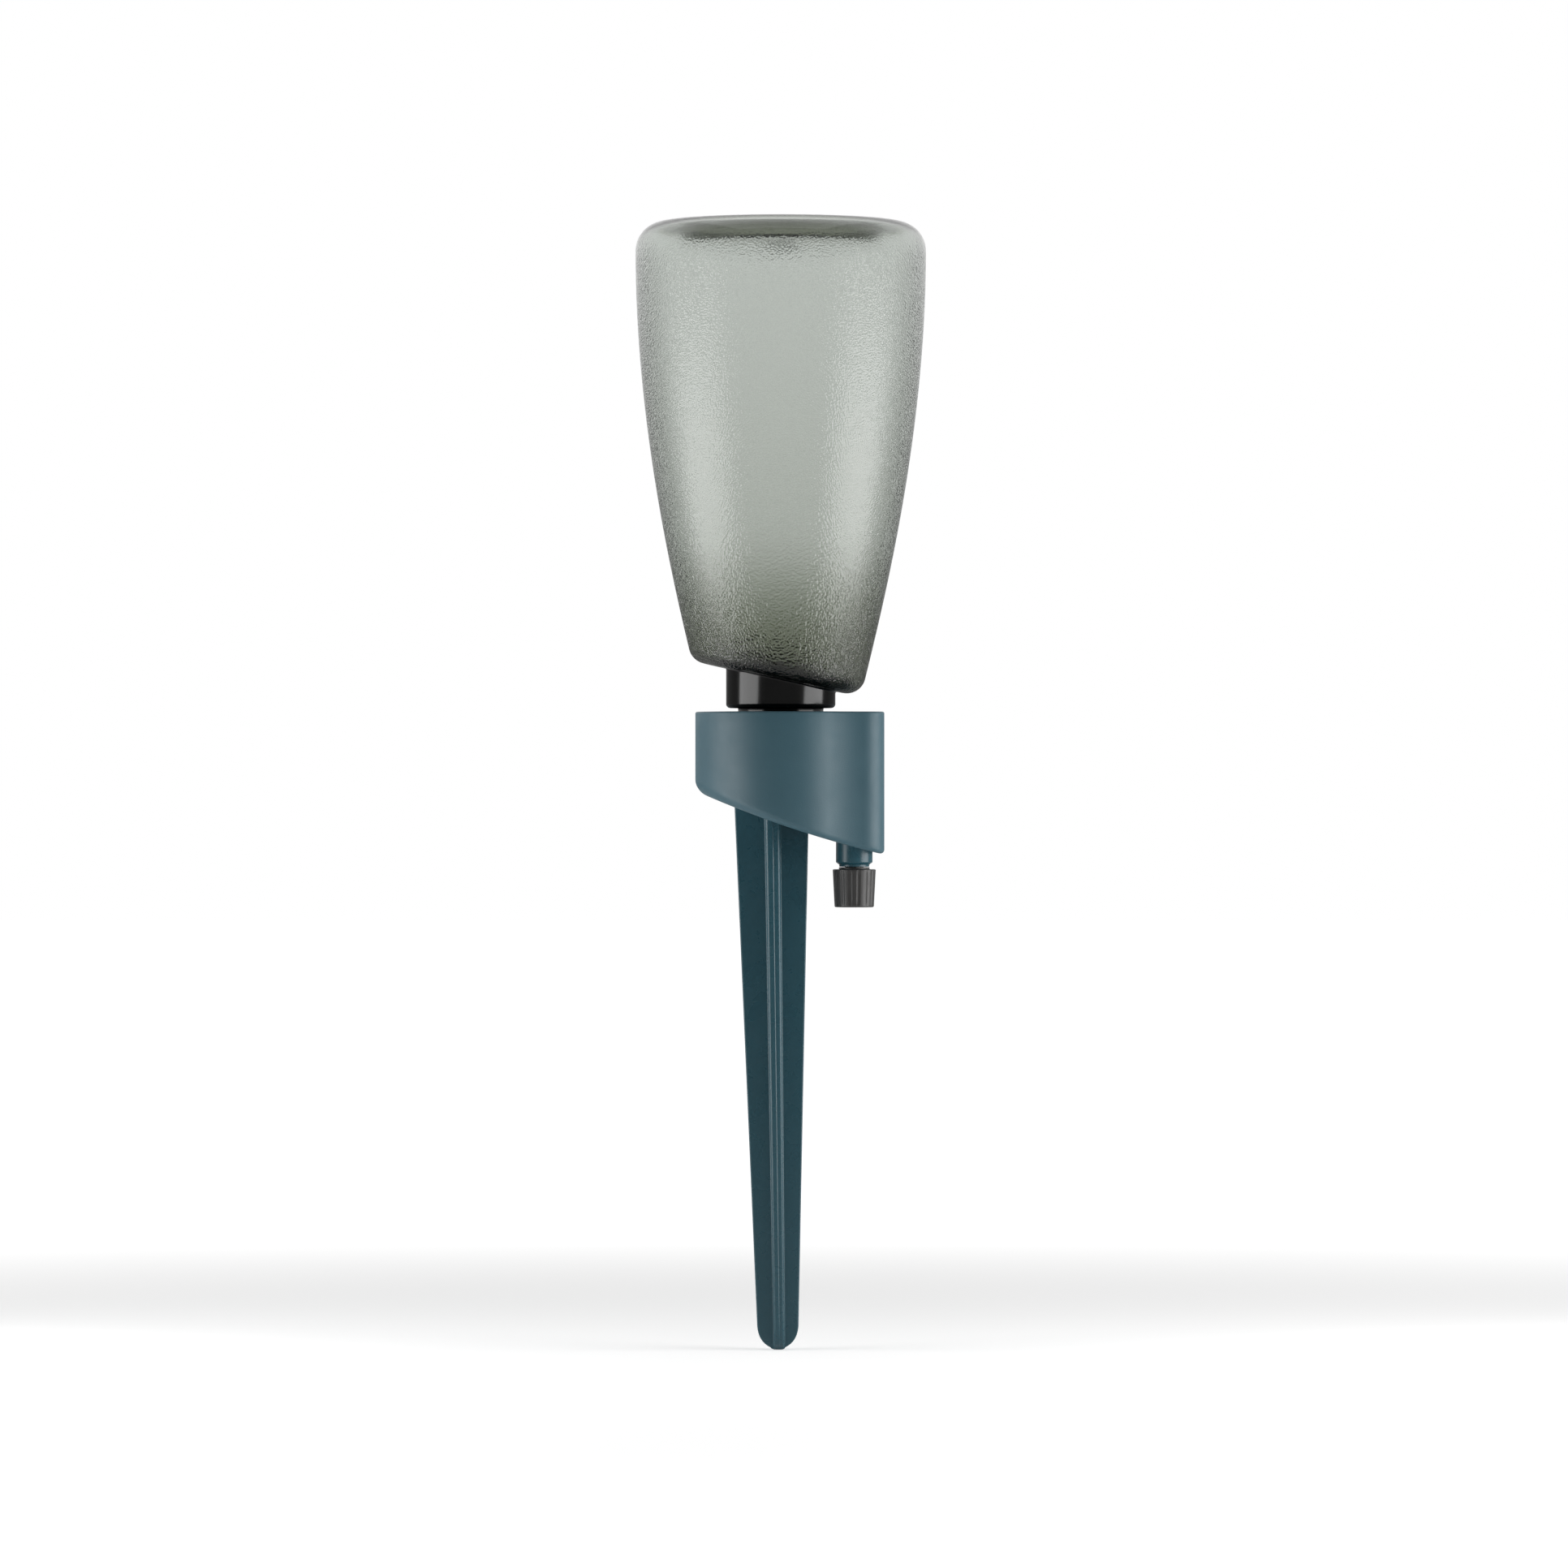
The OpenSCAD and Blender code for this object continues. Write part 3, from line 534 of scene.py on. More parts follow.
def strainer_bars():
    """Crossing bars, each as long as the round opening is wide at its place."""
    tree = bpy.data.node_groups.new("strainer bars", "GeometryNodeTree")
    for name, kind in (("Opening radius", "Float"), ("Pitch", "Float"), ("Bar width", "Float"),
                       ("Bar height", "Float"), ("Level", "Float"), ("Bars", "Int"),
                       ("Material", "Material")):
        tree.interface.new_socket(name, in_out="INPUT", socket_type="NodeSocket" + kind)
    tree.interface.new_socket("Geometry", in_out="OUTPUT", socket_type="NodeSocketGeometry")
    given = node(tree, "NodeGroupInput").outputs
    index = node(tree, "GeometryNodeInputIndex").outputs[0]
    middle_bar = reckoned(tree, "DIVIDE", reckoned(tree, "SUBTRACT", given["Bars"], 1), 2)
    offset = reckoned(tree, "MULTIPLY", reckoned(tree, "SUBTRACT", index, middle_bar), given["Pitch"])
    radius_2 = reckoned(tree, "MULTIPLY", given["Opening radius"], given["Opening radius"])
    half_2 = reckoned(tree, "SUBTRACT", radius_2, reckoned(tree, "MULTIPLY", offset, offset))
    half = reckoned(tree, "SQRT", reckoned(tree, "MAXIMUM", half_2, 0))
    length = reckoned(tree, "ADD", reckoned(tree, "MULTIPLY", half, 2), given["Bar width"])
    place = node(tree, "ShaderNodeCombineXYZ", {"X": offset, "Z": given["Level"]}).outputs[0]
    size = node(tree, "ShaderNodeCombineXYZ", {
        "X": given["Bar width"], "Y": length, "Z": given["Bar height"]}).outputs[0]
    row = node(tree, "GeometryNodePoints", {"Count": given["Bars"], "Position": place}).outputs[0]
    bar = node(tree, "GeometryNodeMeshCube", {"Vertices Y": 9}).outputs["Mesh"]
    bars = node(tree, "GeometryNodeInstanceOnPoints", {
        "Points": row, "Instance": bar, "Scale": size}).outputs[0]
    across = node(tree, "GeometryNodeTransform", {
        "Geometry": bars, "Rotation": (0, 0, math.pi / 2)}).outputs[0]
    both = node(tree, "GeometryNodeJoinGeometry", {0: bars})
    tree.links.new(across, both.inputs[0])
    real = node(tree, "GeometryNodeRealizeInstances", {0: both.outputs[0]}).outputs[0]
    coat = node(tree, "GeometryNodeSetMaterial", {"Geometry": real, "Material": given["Material"]})
    node(tree, "NodeGroupOutput", {0: coat.outputs[0]})
    return tree


def grown(name, tree, **values):
    """A piece with the plain mesh that a geometry tree makes from these values."""
    seed = bpy.data.objects.new(name, bpy.data.meshes.new(name))
    bpy.context.collection.objects.link(seed)
    step = seed.modifiers.new(name, "NODES")
    step.node_group = tree
    sockets = {s.name: s.identifier for s in tree.interface.items_tree if s.in_out == "INPUT"}
    for key, value in values.items():
        step[sockets[key.replace("_", " ")]] = value
    settle(seed)
    return seed


def join(piece, other):
    """Takes the other piece's mesh into the piece's own."""
    whole = bmesh.new()
    whole.from_mesh(piece.data)
    whole.from_mesh(other.data)
    whole.to_mesh(piece.data)
    whole.free()
    bpy.data.objects.remove(other)


strainer_plastic = plastic("pale grey plastic", (0.52, 0.54, 0.54), (0.60, 0.62, 0.62), (0.4, 0.55),
                           0.25 * mm, 0.01 * mm)
strainer = flat_ring("strainer_disc", (strainer_mesh_r, strainer_edge), (strainer_r, strainer_edge),
                     strainer_low.z, strainer_high.z)
bars = grown("strainer_bars", strainer_bars(), Opening_radius=strainer_mesh_r, Pitch=1.6 * mm,
             Bar_width=0.7 * mm, Bar_height=strainer_t * 0.9, Bars=8,
             Level=(strainer_low.z + strainer_high.z) / 2, Material=strainer_plastic)
join(strainer, bars)
shade(strainer, strainer_plastic)
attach(strainer, "spike")
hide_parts("inlet_strainer")


# The socket cover: the plate in the head's top, moulded in one with the threaded cup that the
# bottle screws into. It lies on the ledge round the head's rim and is welded there.
bottle_low, bottle_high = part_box("bottle")
lip_z = bottle_low.z
mouth_r = 12.5 * mm
mouth_bore_r = 10.8 * mm
thread_h = 1.1 * mm
thread_gap = 0.5 * mm
thread_pitch = 3 * mm
thread_turns = 2.25
thread_start = 1.3 * mm
thread_top_z = lip_z + thread_start + thread_pitch * (thread_turns + 1)
run_out_turns = 0.12
outer_root = 0.63
outer_crest = 0.37
inner_root = 0.5
inner_crest = 0.23
cup_bore_r = mouth_r + thread_h + thread_gap
cup_wall = 2.4 * mm
cup_r = cup_bore_r + cup_wall
cup_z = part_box("socket_cover")[0].z
cup_floor_z = strainer_high.z
cup_wall_z = cup_floor_z + 0.4 * mm
cup_levels = 64
cover_inset = rim_inset + press_gap
plate_z = head_z - cover_t
plate_band = 2 * mm


def ramp(value, start, end):
    """0 up to the start, 1 past the end, and a straight rise between them."""
    return max(0, min(1, (value - start) / (end - start)))


def thread_rise(turn, z, start_z, root, crest, height):
    """Height of a helical ridge above its wall, at an angle round the axis and a level. Its root and
    its crest are shares of the pitch."""
    best = 0
    for whole in range(math.ceil(thread_turns) + 1):
        along = turn / (2 * math.pi) + whole
        if along > thread_turns:
            continue
        away = abs(z - start_z - thread_pitch * along)
        lead = min(ramp(along, 0, run_out_turns), ramp(along, thread_turns, thread_turns - run_out_turns))
        side = ramp(away, root * thread_pitch / 2, crest * thread_pitch / 2)
        best = max(best, height * side * lead)
    return best


def cup_thread(turn, z):
    """The ridge inside the cup: it stands inwards from the bore."""
    return -thread_rise(turn, z, lip_z + thread_start + thread_pitch / 2, inner_root, inner_crest,
                        cup_bore_r - mouth_r - thread_gap)


cup_line = rounded([
    (strainer_mesh_r, cup_z, 0), (strainer_mesh_r, strainer_low.z, 0),
    (strainer_r + press_gap, strainer_low.z, 0), (strainer_r + press_gap, cup_floor_z, 0),
    (cup_bore_r, cup_floor_z, 0.2 * mm), (cup_bore_r, cup_wall_z, 0)])
cup_line += [Vector((cup_bore_r, cup_wall_z + (thread_top_z - cup_floor_z) * k / cup_levels))
             for k in range(1, cup_levels)]
cup_line += rounded([(cup_bore_r, thread_top_z + 0.2 * mm, 0), (cup_bore_r, head_z, 0.5 * mm),
                     (cup_bore_r + plate_band, head_z, 0)])
cover_rings = []
for r, z in cup_line:
    threaded = abs(r - cup_bore_r) < 1e-6 and cup_wall_z < z < thread_top_z
    cover_rings.append([point_at(r + (cup_thread(turn, z) if threaded else 0), turn, z)
                        for turn in round_turns(head_sides)])
for inset, z in rounded([(cover_inset + plate_band, head_z, 0), (cover_inset, head_z, 0.25 * mm),
                         (cover_inset, plate_z, 0.1 * mm), (cover_inset + plate_band, plate_z, 0)]):
    cover_rings.append(head_ring(inset, lambda x: z))
for r, z in rounded([(cup_r + mm, plate_z, 0), (cup_r, plate_z, 0.3 * mm), (cup_r, cup_z, 0.4 * mm),
                     (strainer_r - mm, cup_z, 0)]):
    cover_rings.append(level_ring(r, z, head_sides))
cover = skin("socket_plate", cover_rings, loop=True)
shade(cover, head_plastic)
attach(cover, "spike")
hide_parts("socket_cover")


# The neck washer: a flat silicone ring on the cup's floor. The bottle's lip presses on it, and
# it comes out with the bottle.
washer_low, washer_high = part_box("neck_washer")
washer_round = 0.3 * mm
washer = flat_ring("washer_ring", (mouth_bore_r - mm, washer_round), (washer_high.x, washer_round),
                   washer_low.z, washer_high.z)
shade(washer, silicone)
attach(washer, "mouth_seal")
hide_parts("neck_washer")


# The bottle: the water tank, blown in one piece from smoke-grey plastic. Its wall is thin at the
# base and thickens towards the shoulder, and the neck and threaded mouth are thick and dark.
# The side has a leather grain, fine at the top and coarser below.
bottle_r = bottle_high.x
top_z = bottle_high.z
base_round = 8.5 * mm
base_round_r = bottle_r - base_round
base_round_z = top_z - base_round
base_ring_w = 3 * mm
base_ring_r = base_round_r - base_ring_w
base_slope_w = 4 * mm
base_r = base_ring_r - base_slope_w
base_depth = 5 * mm
base_dome = 1.2 * mm
base_edge = 0.9 * mm
ring_edge = 1.2 * mm
gate_r = 4.75 * mm
gate_t = 1 * mm
gate_edge = 0.5 * mm
shoulder_tilt = math.radians(12)
shoulder_z = 86 * mm
shoulder_round = 5.5 * mm
neck_r = 16 * mm
neck_z = 77.7 * mm
flare_r = neck_r + 1.5 * mm
mouth_top_z = neck_z - 0.8 * mm
mouth_end_z = lip_z + 0.55 * mm
foot_r = 23.45 * mm
foot_z = shoulder_z - foot_r * math.tan(shoulder_tilt)
side_h = base_round_z - foot_z
top_wall = 0.7 * mm
foot_wall = 2.6 * mm
base_wall = 1.0 * mm
collar_h = 3.5 * mm
collar_foot_r = neck_r + 3 * mm
grain_top_z = top_z - 2.5 * mm
grain_full_z = top_z - 12 * mm
bottle_sides = 224
side_steps = 56
bend_steps = 12
dome_steps = 13
base_steps = 14
mouth_steps = 60

# The side's curve: upright at the rim, and drawn in more and more towards the foot.
side_points = [Vector((bottle_r, base_round_z)),
               Vector((bottle_r, foot_z + 0.56 * side_h)),
               Vector((foot_r + 0.26 * (bottle_r - foot_r), foot_z + 0.16 * side_h)),
               Vector((foot_r, foot_z))]


def eased(share):
    """A share with a soft start and end."""
    return share * share * (3 - 2 * share)


def side_at(t):
    """A point on the bottle's side, and the direction inwards there. Past 1 it runs on straight."""
    a, b, c, d = side_points
    s = min(t, 1)
    run = (1 - s) ** 2 * (b - a) + 2 * (1 - s) * s * (c - b) + s * s * (d - c)
    point = (1 - s) ** 3 * a + 3 * (1 - s) ** 2 * s * b + 3 * (1 - s) * s * s * c + s ** 3 * d
    point = point + 3 * run * (t - s)
    inwards = Vector((run.y, -run.x)).normalized()
    return point, inwards


def wall_at(t):
    """Thickness of the bottle's side, from its rim at 0 to its foot at 1."""
    return top_wall + (foot_wall - top_wall) * min(t, 1) ** 3


def side_line(turn, wall_share):
    """The side, the bend to the slanted shoulder and the shoulder's height, at an angle round the
    axis. A wall share of 0 is the outside and 1 the inside."""
    slope = -math.cos(turn) * math.tan(shoulder_tilt)
    square = math.hypot(1, slope)
    level = shoulder_z + wall_share * foot_wall * square
    radius = shoulder_round - wall_share * foot_wall

    def place(t):
        point, inwards = side_at(t)
        return point + inwards * wall_share * wall_at(t), inwards

    # Halving finds the place on the side from which the bend just touches the shoulder.
    near = 0.5
    far = 1.3
    for again in range(30):
        t = (near + far) / 2
        point, inwards = place(t)
        centre = point + inwards * radius
        if (centre.y - level - slope * centre.x) / square > radius:
            near = t
        else:
            far = t
    side = [place(t * k / side_steps)[0] for k in range(side_steps + 1)]
    start = side[-1] - centre
    end = Vector((slope, -1)) / square * radius
    bend = arc(centre, start, -start.angle(end), bend_steps)[1:]
    return side, bend, lambda r: level + slope * r


def mouth_thread(turn, z):
    """The ridge outside the bottle's mouth."""
    return thread_rise(turn, z, lip_z + thread_start, outer_root, outer_crest, thread_h)


def base_line(lift, wall, side_wall):
    """The sunk base with its gate mark, the flat ring and the rounding to the side, moved inwards
    by the wall, which thins towards the side."""
    shift = wall * math.tan(math.atan2(base_depth, base_slope_w) / 2)
    floor_z = top_z - base_depth - wall
    dome = []
    for k in range(dome_steps):
        r = (base_r + shift) * k / dome_steps
        gate = lift * gate_t * ramp(r, gate_r + gate_edge / 2, gate_r - gate_edge / 2)
        dome.append(Vector((r, floor_z - base_dome * (1 - (r / base_r) ** 2) - gate)))
    line = dome + rounded([
        dome[-1][:] + (0,), (base_r + shift, floor_z, base_edge + wall),
        (base_ring_r + shift, top_z - wall, ring_edge), (base_round_r, top_z - wall, 0)])[1:]
    for k in range(1, base_steps):
        turn = math.pi / 2 * k / base_steps
        line.append(Vector((base_round_r + (base_round - side_wall) * math.sin(turn),
                            base_round_z + (base_round - wall) * math.cos(turn))))
    return line


def bare(points):
    """Points of the bottle's outline without grain."""
    return [(p.x, p.y, 0) for p in points]


def bottle_line(turn):
    """The bottle's whole outline at an angle: from the middle of the base down the outside to the
    lip, and up the inside. The third value is the share of grain."""
    side, bend, shoulder = side_line(turn, 0)
    inner_side, inner_bend, inner_shoulder = side_line(turn, 1)
    line = []
    for p in base_line(0, 0, 0) + side + bend:
        grained = p.x > base_round_r or p.y < base_round_z
        line.append((p.x, p.y, eased(ramp(p.y, grain_top_z, grain_full_z)) if grained else 0))
    last = bend[-1]
    for k in range(3):
        r = last.x + (flare_r - last.x) * (k + 1) / 4
        line.append((r, shoulder(r), 1 - 0.5 * k / 3))
    line += bare(rounded([
        (flare_r, shoulder(flare_r), 0), (neck_r, shoulder(neck_r), 0.5 * mm),
        (neck_r, neck_z, 1.2 * mm), (mouth_r, neck_z, 0.3 * mm), (mouth_r, mouth_top_z, 0)]))
    high = mouth_top_z - 0.1 * mm
    low = mouth_end_z + 0.05 * mm
    for k in range(mouth_steps + 1):
        z = high + (low - high) * k / mouth_steps
        line.append((mouth_r + mouth_thread(turn, z), z, 0))
    lip = rounded([
        (mouth_r, mouth_end_z, 0), (mouth_r, lip_z, 0.4 * mm), (mouth_bore_r, lip_z, 0.5 * mm),
        (mouth_bore_r, inner_shoulder(mouth_bore_r) + collar_h, 1.5 * mm),
        (neck_r, inner_shoulder(neck_r) + collar_h, 1.5 * mm),
        (collar_foot_r, inner_shoulder(collar_foot_r), mm),
        (inner_bend[-1].x, inner_bend[-1].y, 0)])
    inner_base = base_line(1, base_wall, top_wall)
    return line + bare(lip + inner_bend[-2::-1] + inner_side[::-1] + inner_base[::-1])


lines = [bottle_line(turn) for turn in round_turns(bottle_sides)]
bottle_rings = []
grain_shares = []
for k, (r, z, share) in enumerate(lines[0]):
    if r == 0:
        bottle_rings.append([Vector((0, 0, z))])
        grain_shares.append(share)
        continue
    ring = []
    for turn, line in zip(round_turns(bottle_sides), lines):
        r, z, share = line[k]
        ring.append(point_at(r, turn, z))
        grain_shares.append(share)
    bottle_rings.append(ring)
bottle = skin("bottle_tank", bottle_rings)

smoke_start_z = 132 * mm
side_smoke = 0.11
foot_smoke = 0.44
disc_smoke = 0.5
ring_smoke = 0.88
slope_start_r = base_r - mm


def smoke_at(point):
    """Share of smoke in the plastic. It gathers at the foot and in the base's ring and gate mark,
    and the thick neck and mouth are full of it."""
    r = math.hypot(point.x, point.y)
    neck_end_z = shoulder_z - point.x * math.tan(shoulder_tilt) + collar_h + 2 * foot_wall
    if r < neck_r + mm and point.z < neck_end_z:
        return 1
    foot = eased(ramp(point.z, smoke_start_z, shoulder_z))
    side = side_smoke * (top_z - point.z) / (top_z - smoke_start_z) + foot_smoke * foot
    if point.z < base_round_z:
        return side
    rim = ramp(r, bottle_r - base_round / 2, base_round_r)
    slope = ramp(r, slope_start_r, slope_start_r + base_slope_w)
    gate = ramp(r, 1.5 * gate_r, 0.5 * gate_r)
    return max(side, rim * (disc_smoke + (ring_smoke - disc_smoke) * max(slope, gate)))


smoke_shares = [smoke_at(vertex.co) for vertex in bottle.data.vertices]
for name, shares in (("grain", grain_shares), ("smoke", smoke_shares)):
    bottle.data.attributes.new(name, "FLOAT", "POINT").data.foreach_set("value", shares)


def smoked_plastic():
    """Clear plastic with a smoke tint in its depth, so thick places are darker. The shares of grain
    and smoke come from the mesh, and the grain grows from the rim to the shoulder."""
    fine_size = 0.5 * mm
    coarse_size = 0.62 * mm
    grain_depth = 0.13 * mm
    material, tree, shader = new_material("smoke-grey clear plastic")
    place = object_place(tree)
    level = node(tree, "ShaderNodeSeparateXYZ", {0: place}).outputs["Z"]
    down = faded(tree, level, top_z - 70 * mm, shoulder_z, curve="SMOOTHSTEP")
    fine = noise(tree, place, fine_size, 0)
    coarse = reckoned(tree, "MULTIPLY", noise(tree, place, coarse_size, 0), 3)
    grain = node(tree, "ShaderNodeAttribute", attribute_name="grain").outputs["Fac"]
    relief = reckoned(tree, "MULTIPLY", mixed(tree, down, fine, coarse, "FLOAT"), grain)
    bump = node(tree, "ShaderNodeBump", {"Distance": grain_depth, "Height": relief})
    smoke = node(tree, "ShaderNodeAttribute", attribute_name="smoke").outputs["Fac"]
    rough = faded(tree, grain, 0, 1, 0.05, 0.1)
    dull = faded(tree, smoke, 0.85, 1, 0, 0.16)
    tint = node(tree, "ShaderNodeValToRGB", {"Fac": smoke})
    middle = tint.color_ramp.elements.new(0.6)
    tint.color_ramp.elements[0].color = (0.77, 0.79, 0.77, 1)
    middle.color = (0.30, 0.32, 0.255, 1)
    tint.color_ramp.elements[2].color = (0.0006, 0.0011, 0.0009, 1)
    fill(tree, shader, {
        "Transmission Weight": 1, "IOR": 1.5, "Base Color": tint.outputs["Color"],
        "Roughness": reckoned(tree, "MAXIMUM", rough, dull), "Normal": bump.outputs["Normal"]})
    depth = node(tree, "ShaderNodeVolumeAbsorption", {"Color": (0.10, 0.17, 0.10, 1), "Density": 130})
    fill(tree, tree.nodes["Material Output"], {"Volume": depth.outputs[0]})
    return material


shade(bottle, smoked_plastic(), 50)
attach(bottle, "tank")
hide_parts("bottle")


# The valve needle: a small hollow screw with a cone tip, moulded in natural white plastic. Water
# enters through its cross hole and drips from the nozzle at its end.
needle_low, needle_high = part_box("valve_needle")
oring_low, oring_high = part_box("valve_oring")
needle_core_r = 2.7 * mm
needle_pitch = 1.25 * mm
needle_turns = 3.2
needle_thread_h = 0.4 * mm
needle_end_z = knob_low.z + 1.2 * mm
needle_tip_r = 0.25 * mm
outlet_r = 0.8 * mm
outlet_z = oring_low.z + 2.3 * mm
nozzle_r = (outlet_r + needle_core_r) / 2
groove_z = oring_low.z - 0.1 * mm
groove_top_z = oring_high.z + 0.1 * mm
groove_r = 1.45 * mm
groove_edge = 0.08 * mm
stem_r = seal_bore_r - 0.2 * mm
shank_z = nipple_end_z + thread_depth - 0.4 * mm
cone_z = groove_top_z + 1.6 * mm
needle = turned("needle_screw", rounded([
    (0, outlet_z + 0.6 * mm, 0), (outlet_r, outlet_z, 0.1 * mm),
    (outlet_r, needle_low.z, 0.15 * mm), (nozzle_r, needle_low.z, 0.2 * mm),
    (nozzle_r, needle_end_z, 0.2 * mm), (needle_core_r, needle_end_z, 0.2 * mm),
    (needle_core_r, shank_z, 0.2 * mm), (stem_r, shank_z, 0.1 * mm), (stem_r, groove_z, groove_edge),
    (groove_r, groove_z, groove_edge), (groove_r, groove_top_z, groove_edge),
    (stem_r, groove_top_z, groove_edge), (stem_r, cone_z, 0.1 * mm),
    (needle_tip_r, needle_high.z, 0.1 * mm), (0, needle_high.z, 0)]), valve_x, 64)


def screw_ridge(name, root_r, crest_r, start_z, root, crest):
    """A closed helical ridge round the valve's axis, which runs out into its wall at both ends. Its
    root and its crest are shares of the pitch."""
    root_half = root * needle_pitch / 2
    crest_half = crest * needle_pitch / 2
    steps = 32
    count = round(needle_turns * steps)
    rings = []
    for i in range(count + 1):
        to_end = min(i, count - i) / steps
        lead = max(run_out_turns, min(1, to_end / run_out_turns))
        r = root_r + (crest_r - root_r) * lead
        turn = 2 * math.pi * i / steps
        z = start_z + needle_pitch * i / steps
        rings.append([point_at(reach, turn, z + dz, valve_x) for reach, dz in
                      ((root_r, -root_half), (r, -crest_half), (r, crest_half), (root_r, root_half))])
    ends = [[sum(ring, Vector()) / 4] for ring in (rings[0], rings[-1])]
    return skin(name, [ends[0]] + rings + [ends[1]])


thread_sink = 0.15 * mm
join(needle, screw_ridge("needle_thread", needle_core_r - thread_sink, needle_core_r + needle_thread_h,
                         nipple_end_z + needle_pitch / 3, outer_root, outer_crest))
needle_plastic = plastic("natural white plastic", (0.58, 0.58, 0.54), (0.68, 0.68, 0.64), (0.25, 0.4),
                         0.3 * mm, 0.008 * mm)
shade(needle, needle_plastic)
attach(needle, "valve")
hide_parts("valve_needle")
nipple_thread = screw_ridge("nipple_thread", thread_bore_r + thread_sink, needle_core_r + 0.2 * mm,
                            nipple_end_z + needle_pitch * 5 / 6, inner_root, inner_crest)
shade(nipple_thread, head_plastic)
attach(nipple_thread, "spike")


# The valve O-ring: a thin black rubber ring in the needle's groove. It slides in the smooth part
# of the nipple's bore.
cord_r = (oring_high.z - oring_low.z) / 2
oring_r = (oring_high.x - oring_low.x) / 2 - cord_r
oring_z = (oring_low.z + oring_high.z) / 2
oring = turned("oring", [Vector((oring_r + cord_r * math.cos(turn), oring_z + cord_r * math.sin(turn)))
                         for turn in round_turns(16)], valve_x, 64, loop=True)
shade(oring, plastic("black rubber", (0.014, 0.014, 0.014), (0.024, 0.024, 0.024), (0.5, 0.65),
                     0.2 * mm, 0.006 * mm), 80)
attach(oring, "needle_seal")
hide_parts("valve_oring")


# The valve knob: a small tapered grip of dark grey plastic with shallow flutes, pressed onto the
# end of the needle.
knob_z = knob_low.z
collar_z = knob_high.z
knob_top_z = collar_z - 0.6 * mm
knob_top_r = 6.3 * mm
knob_end_r = 5.75 * mm
knob_round = 0.8 * mm
knob_hollow_r = 4 * mm
knob_floor_z = knob_z + 1.2 * mm
knob_rows = 12
collar_r = 4.5 * mm
knob_bore_r = needle_core_r + press_gap
flutes = 16
flute_depth = 0.16 * mm
flute_start_h = 1.2 * mm
flute_end_h = 0.5 * mm


def flute_cut(turn, z):
    """How far the surface is drawn in at an angle round the knob: flat lands between flutes."""
    wave = max(0, math.cos(flutes * (turn - math.pi / flutes)))
    fade = min(ramp(z, knob_z, knob_z + flute_start_h), ramp(z, knob_top_z, knob_top_z - flute_end_h))
    return -flute_depth * wave ** 0.8 * fade


side_rows = [Vector((knob_end_r + (knob_top_r - knob_end_r) * k / knob_rows,
                     knob_z + (knob_top_z - knob_z) * k / knob_rows)) for k in range(1, knob_rows)]
knob_line = rounded([
    (knob_bore_r, collar_z, 0), (knob_bore_r, knob_floor_z, 0.1 * mm),
    (knob_hollow_r, knob_floor_z, 0.2 * mm), (knob_hollow_r, knob_z, 0.3 * mm),
    (knob_end_r, knob_z, knob_round), (side_rows[0].x, side_rows[0].y, 0)])
knob_line += side_rows[1:]
knob_line += rounded([(side_rows[-1].x, side_rows[-1].y, 0), (knob_top_r, knob_top_z, 0.25 * mm),
                      (collar_r, knob_top_z, 0.15 * mm), (collar_r, collar_z, 0.15 * mm),
                      (knob_bore_r, collar_z, 0.1 * mm)])[1:]
knob = turned("knob_grip", knob_line, valve_x, 256, loop=True)
for vertex in knob.data.vertices:
    x = vertex.co.x - valve_x
    y = vertex.co.y
    if math.hypot(x, y) > knob_end_r - knob_round and knob_z < vertex.co.z < knob_top_z:
        pull = 1 + flute_cut(math.atan2(y, x), vertex.co.z) / math.hypot(x, y)
        vertex.co.x = valve_x + x * pull
        vertex.co.y = y * pull
shade(knob, plastic("dark grey plastic", (0.035, 0.035, 0.035), (0.047, 0.045, 0.043), (0.34, 0.46),
                    0.3 * mm, 0.02 * mm), 50)
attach(knob, "valve")
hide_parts("valve_knob")


# The studio: a pale floor at the stake's tip, a white surround, two soft boxes at the sides, a weak
# one above and a bounce at the far right. The side towards the camera is dark, which draws the
# bottle's bands.
floor_r = 8
floor_low_z = tip_z - 0.02
floor = turned("floor", [(0, tip_z), (floor_r, tip_z), (floor_r, floor_low_z), (0, floor_low_z)], sides=64)
floor_paint, floor_tree, paint = new_material("pale floor")
floor_place = object_place(floor_tree)


def seen_by(tree, *kinds):
    """1 for rays of these kinds."""
    rays = node(tree, "ShaderNodeLightPath").outputs
    found = rays[f"Is {kinds[0]} Ray"]
    for kind in kinds[1:]:
        found = reckoned(tree, "MAXIMUM", found, rays[f"Is {kind} Ray"])
    return found


# The floor glows white towards the background. Near the object it glows less and keeps the shadow,
# and what it throws back at the object fades with the distance.
away = node(floor_tree, "ShaderNodeVectorMath", {0: floor_place}, operation="LENGTH").outputs["Value"]
glow = faded(floor_tree, away, 0.2, 0.9, 0.5, 1, "SMOOTHSTEP")
bounced = faded(floor_tree, away, 0.4, 1, 0.3, 0.02)
shown = reckoned(floor_tree, "MAXIMUM", seen_by(floor_tree, "Camera", "Transmission"), bounced)
fill(floor_tree, paint, {
    "Base Color": mixed(floor_tree, noise(floor_tree, floor_place, 0.3), (0.80, 0.80, 0.80, 1),
                        (0.84, 0.84, 0.84, 1)),
    "Roughness": 0.9, "Specular IOR Level": 0, "Emission Color": (1, 1, 1, 1),
    "Emission Strength": reckoned(floor_tree, "MULTIPLY", glow, shown)})
floor.data.materials.append(floor_paint)

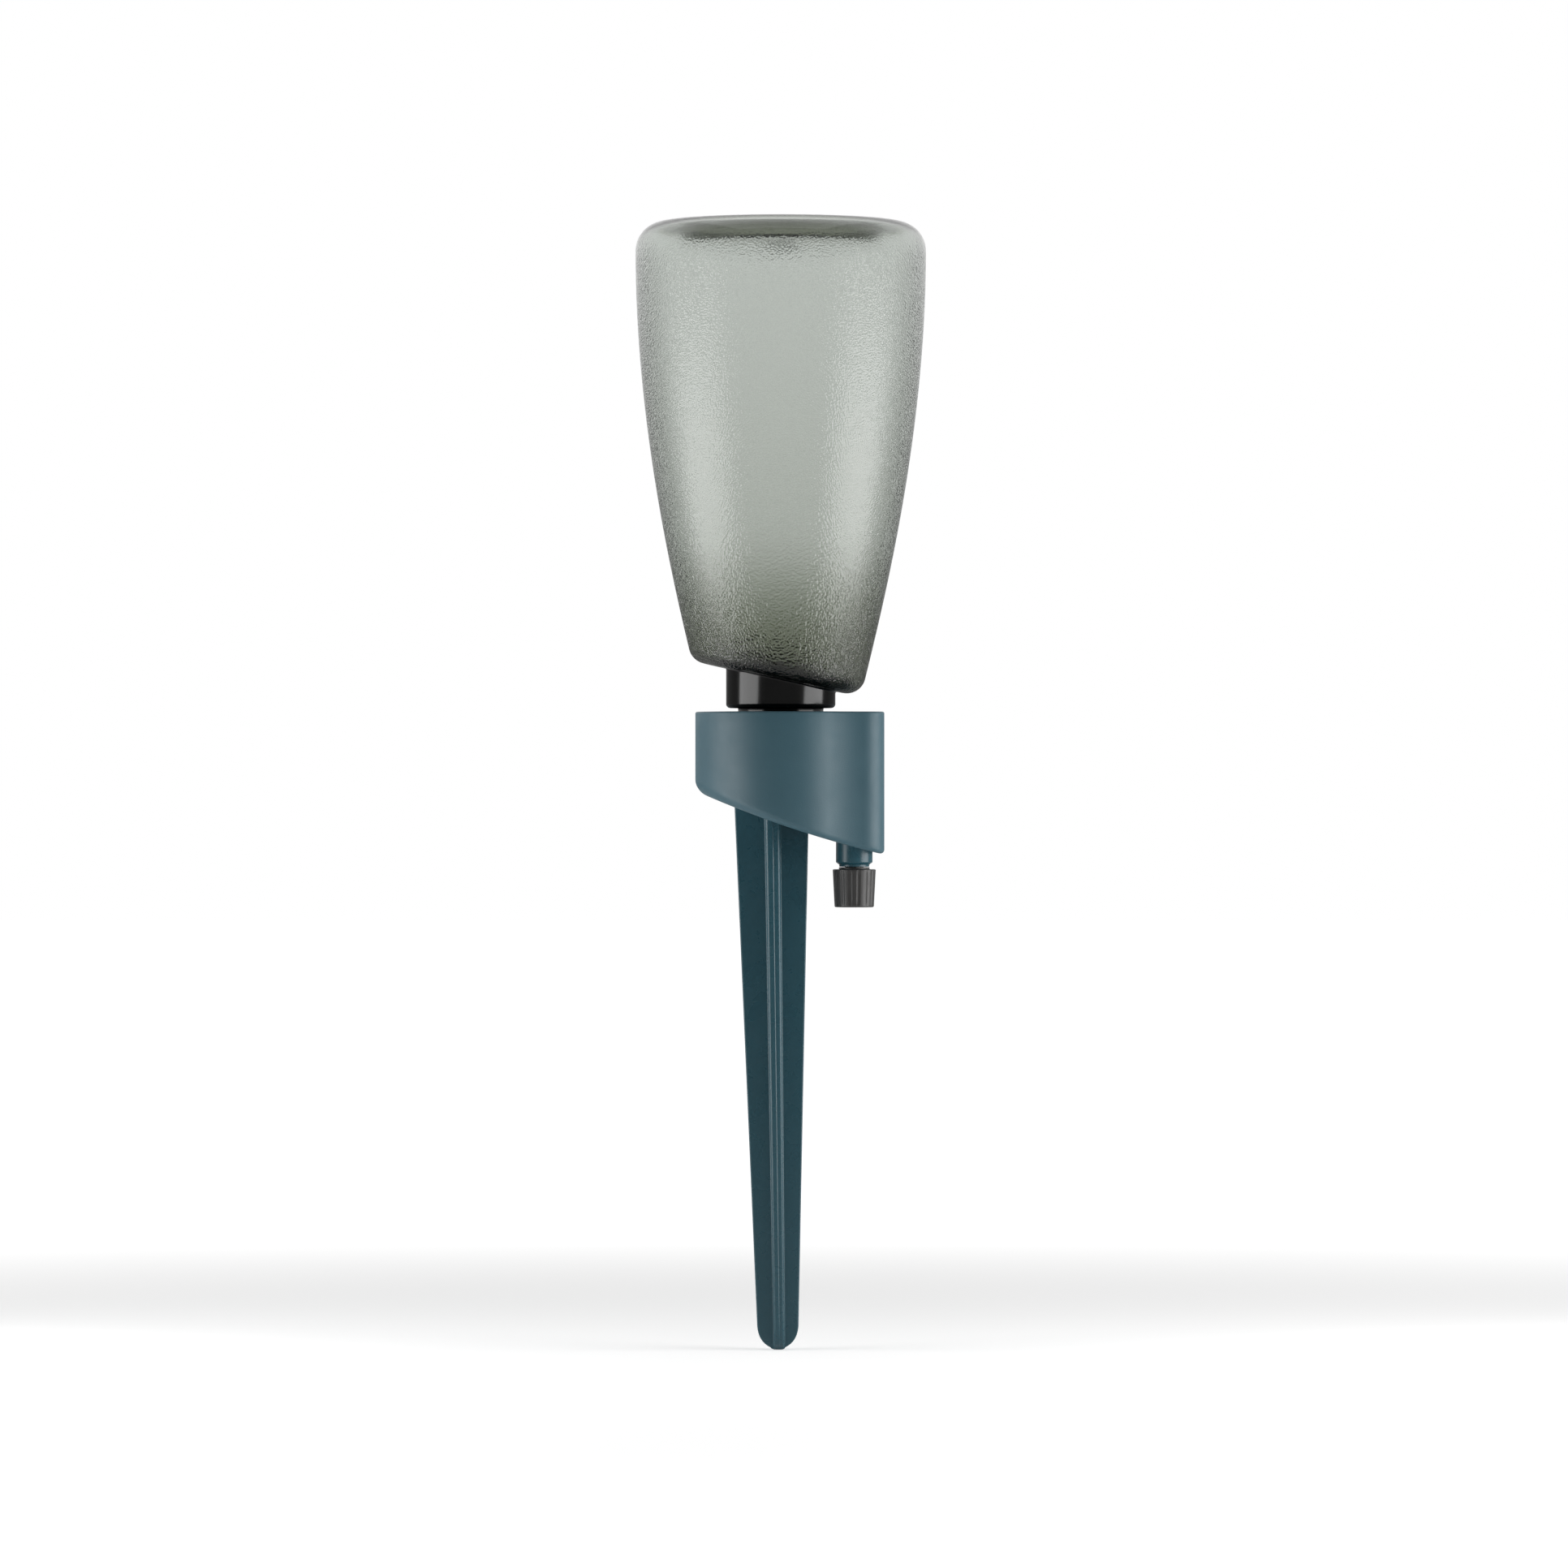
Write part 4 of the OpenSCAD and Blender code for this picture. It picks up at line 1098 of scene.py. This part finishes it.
# The surround is white to the camera and through clear pieces, dark in front and below to a mirror,
# and a weak even fill to everything else.
fill_level = 0.1
world = bpy.data.worlds.new("studio")
bpy.context.scene.world = world
world.use_nodes = True
sky = world.node_tree
sky.nodes.clear()
way = node(sky, "ShaderNodeSeparateXYZ", {0: node(sky, "ShaderNodeTexCoord").outputs["Generated"]}).outputs
behind = faded(sky, way["Y"], -0.25, 0.25, 0.03, 1, "SMOOTHSTEP")
above = faded(sky, way["Z"], -0.03, 0.08, 0.2, 1, "SMOOTHSTEP")
reflected = mixed(sky, seen_by(sky, "Camera", "Transmission", "Glossy"), fill_level,
                  reckoned(sky, "MULTIPLY", behind, above), "FLOAT")
strength = mixed(sky, seen_by(sky, "Camera", "Transmission"), reflected, 1, "FLOAT")
surround = node(sky, "ShaderNodeBackground", {"Color": (1, 1, 1, 1), "Strength": strength})
node(sky, "ShaderNodeOutputWorld", {"Surface": surround.outputs[0]})


def soft_box(name, place, aim, width, height, radiance, mirrored=True):
    """A flat lamp of an even brightness. The camera doesn't see it, nor do clear pieces show it."""
    lamp = bpy.data.lights.new(name, "AREA")
    lamp.shape = "RECTANGLE"
    lamp.size = width
    lamp.size_y = height
    lamp.energy = radiance * math.pi * width * height
    box = bpy.data.objects.new(name, lamp)
    box.location = place
    box.rotation_euler = (Vector(aim) - Vector(place)).to_track_quat("-Z", "Y").to_euler()
    box.visible_camera = False
    box.visible_transmission = False
    box.visible_glossy = mirrored
    bpy.context.collection.objects.link(box)


box_x = 0.36
box_y = -0.135
box_w = 0.35
right_z = -0.03
bounce_z = 0.05
soft_box("left soft box", (-box_x, box_y, 0), (0, box_y, 0), box_w, 0.32, 3.6)
soft_box("right soft box", (box_x, box_y, right_z), (0, box_y, right_z), box_w, 0.4, 3.9)
soft_box("top soft box", (0, 0, 1.3), (0, 0, 0), 1.2, 1.2, 0.8)
soft_box("right bounce", (0.86, -0.28, bounce_z), (0, 0, bounce_z), 0.5, 0.5, 1.7, mirrored=False)

view_distance = 2.54
eye_x = 0.95 * mm
eye_z = 55.5 * mm
camera = bpy.data.objects.new("camera", bpy.data.cameras.new("camera"))
camera.data.lens = 199.3
camera.location = (eye_x, -view_distance, eye_z)
camera.rotation_euler = (math.pi / 2, 0, 0)
bpy.context.collection.objects.link(camera)
bpy.context.scene.camera = camera
bpy.context.scene.view_settings.view_transform = "Standard"
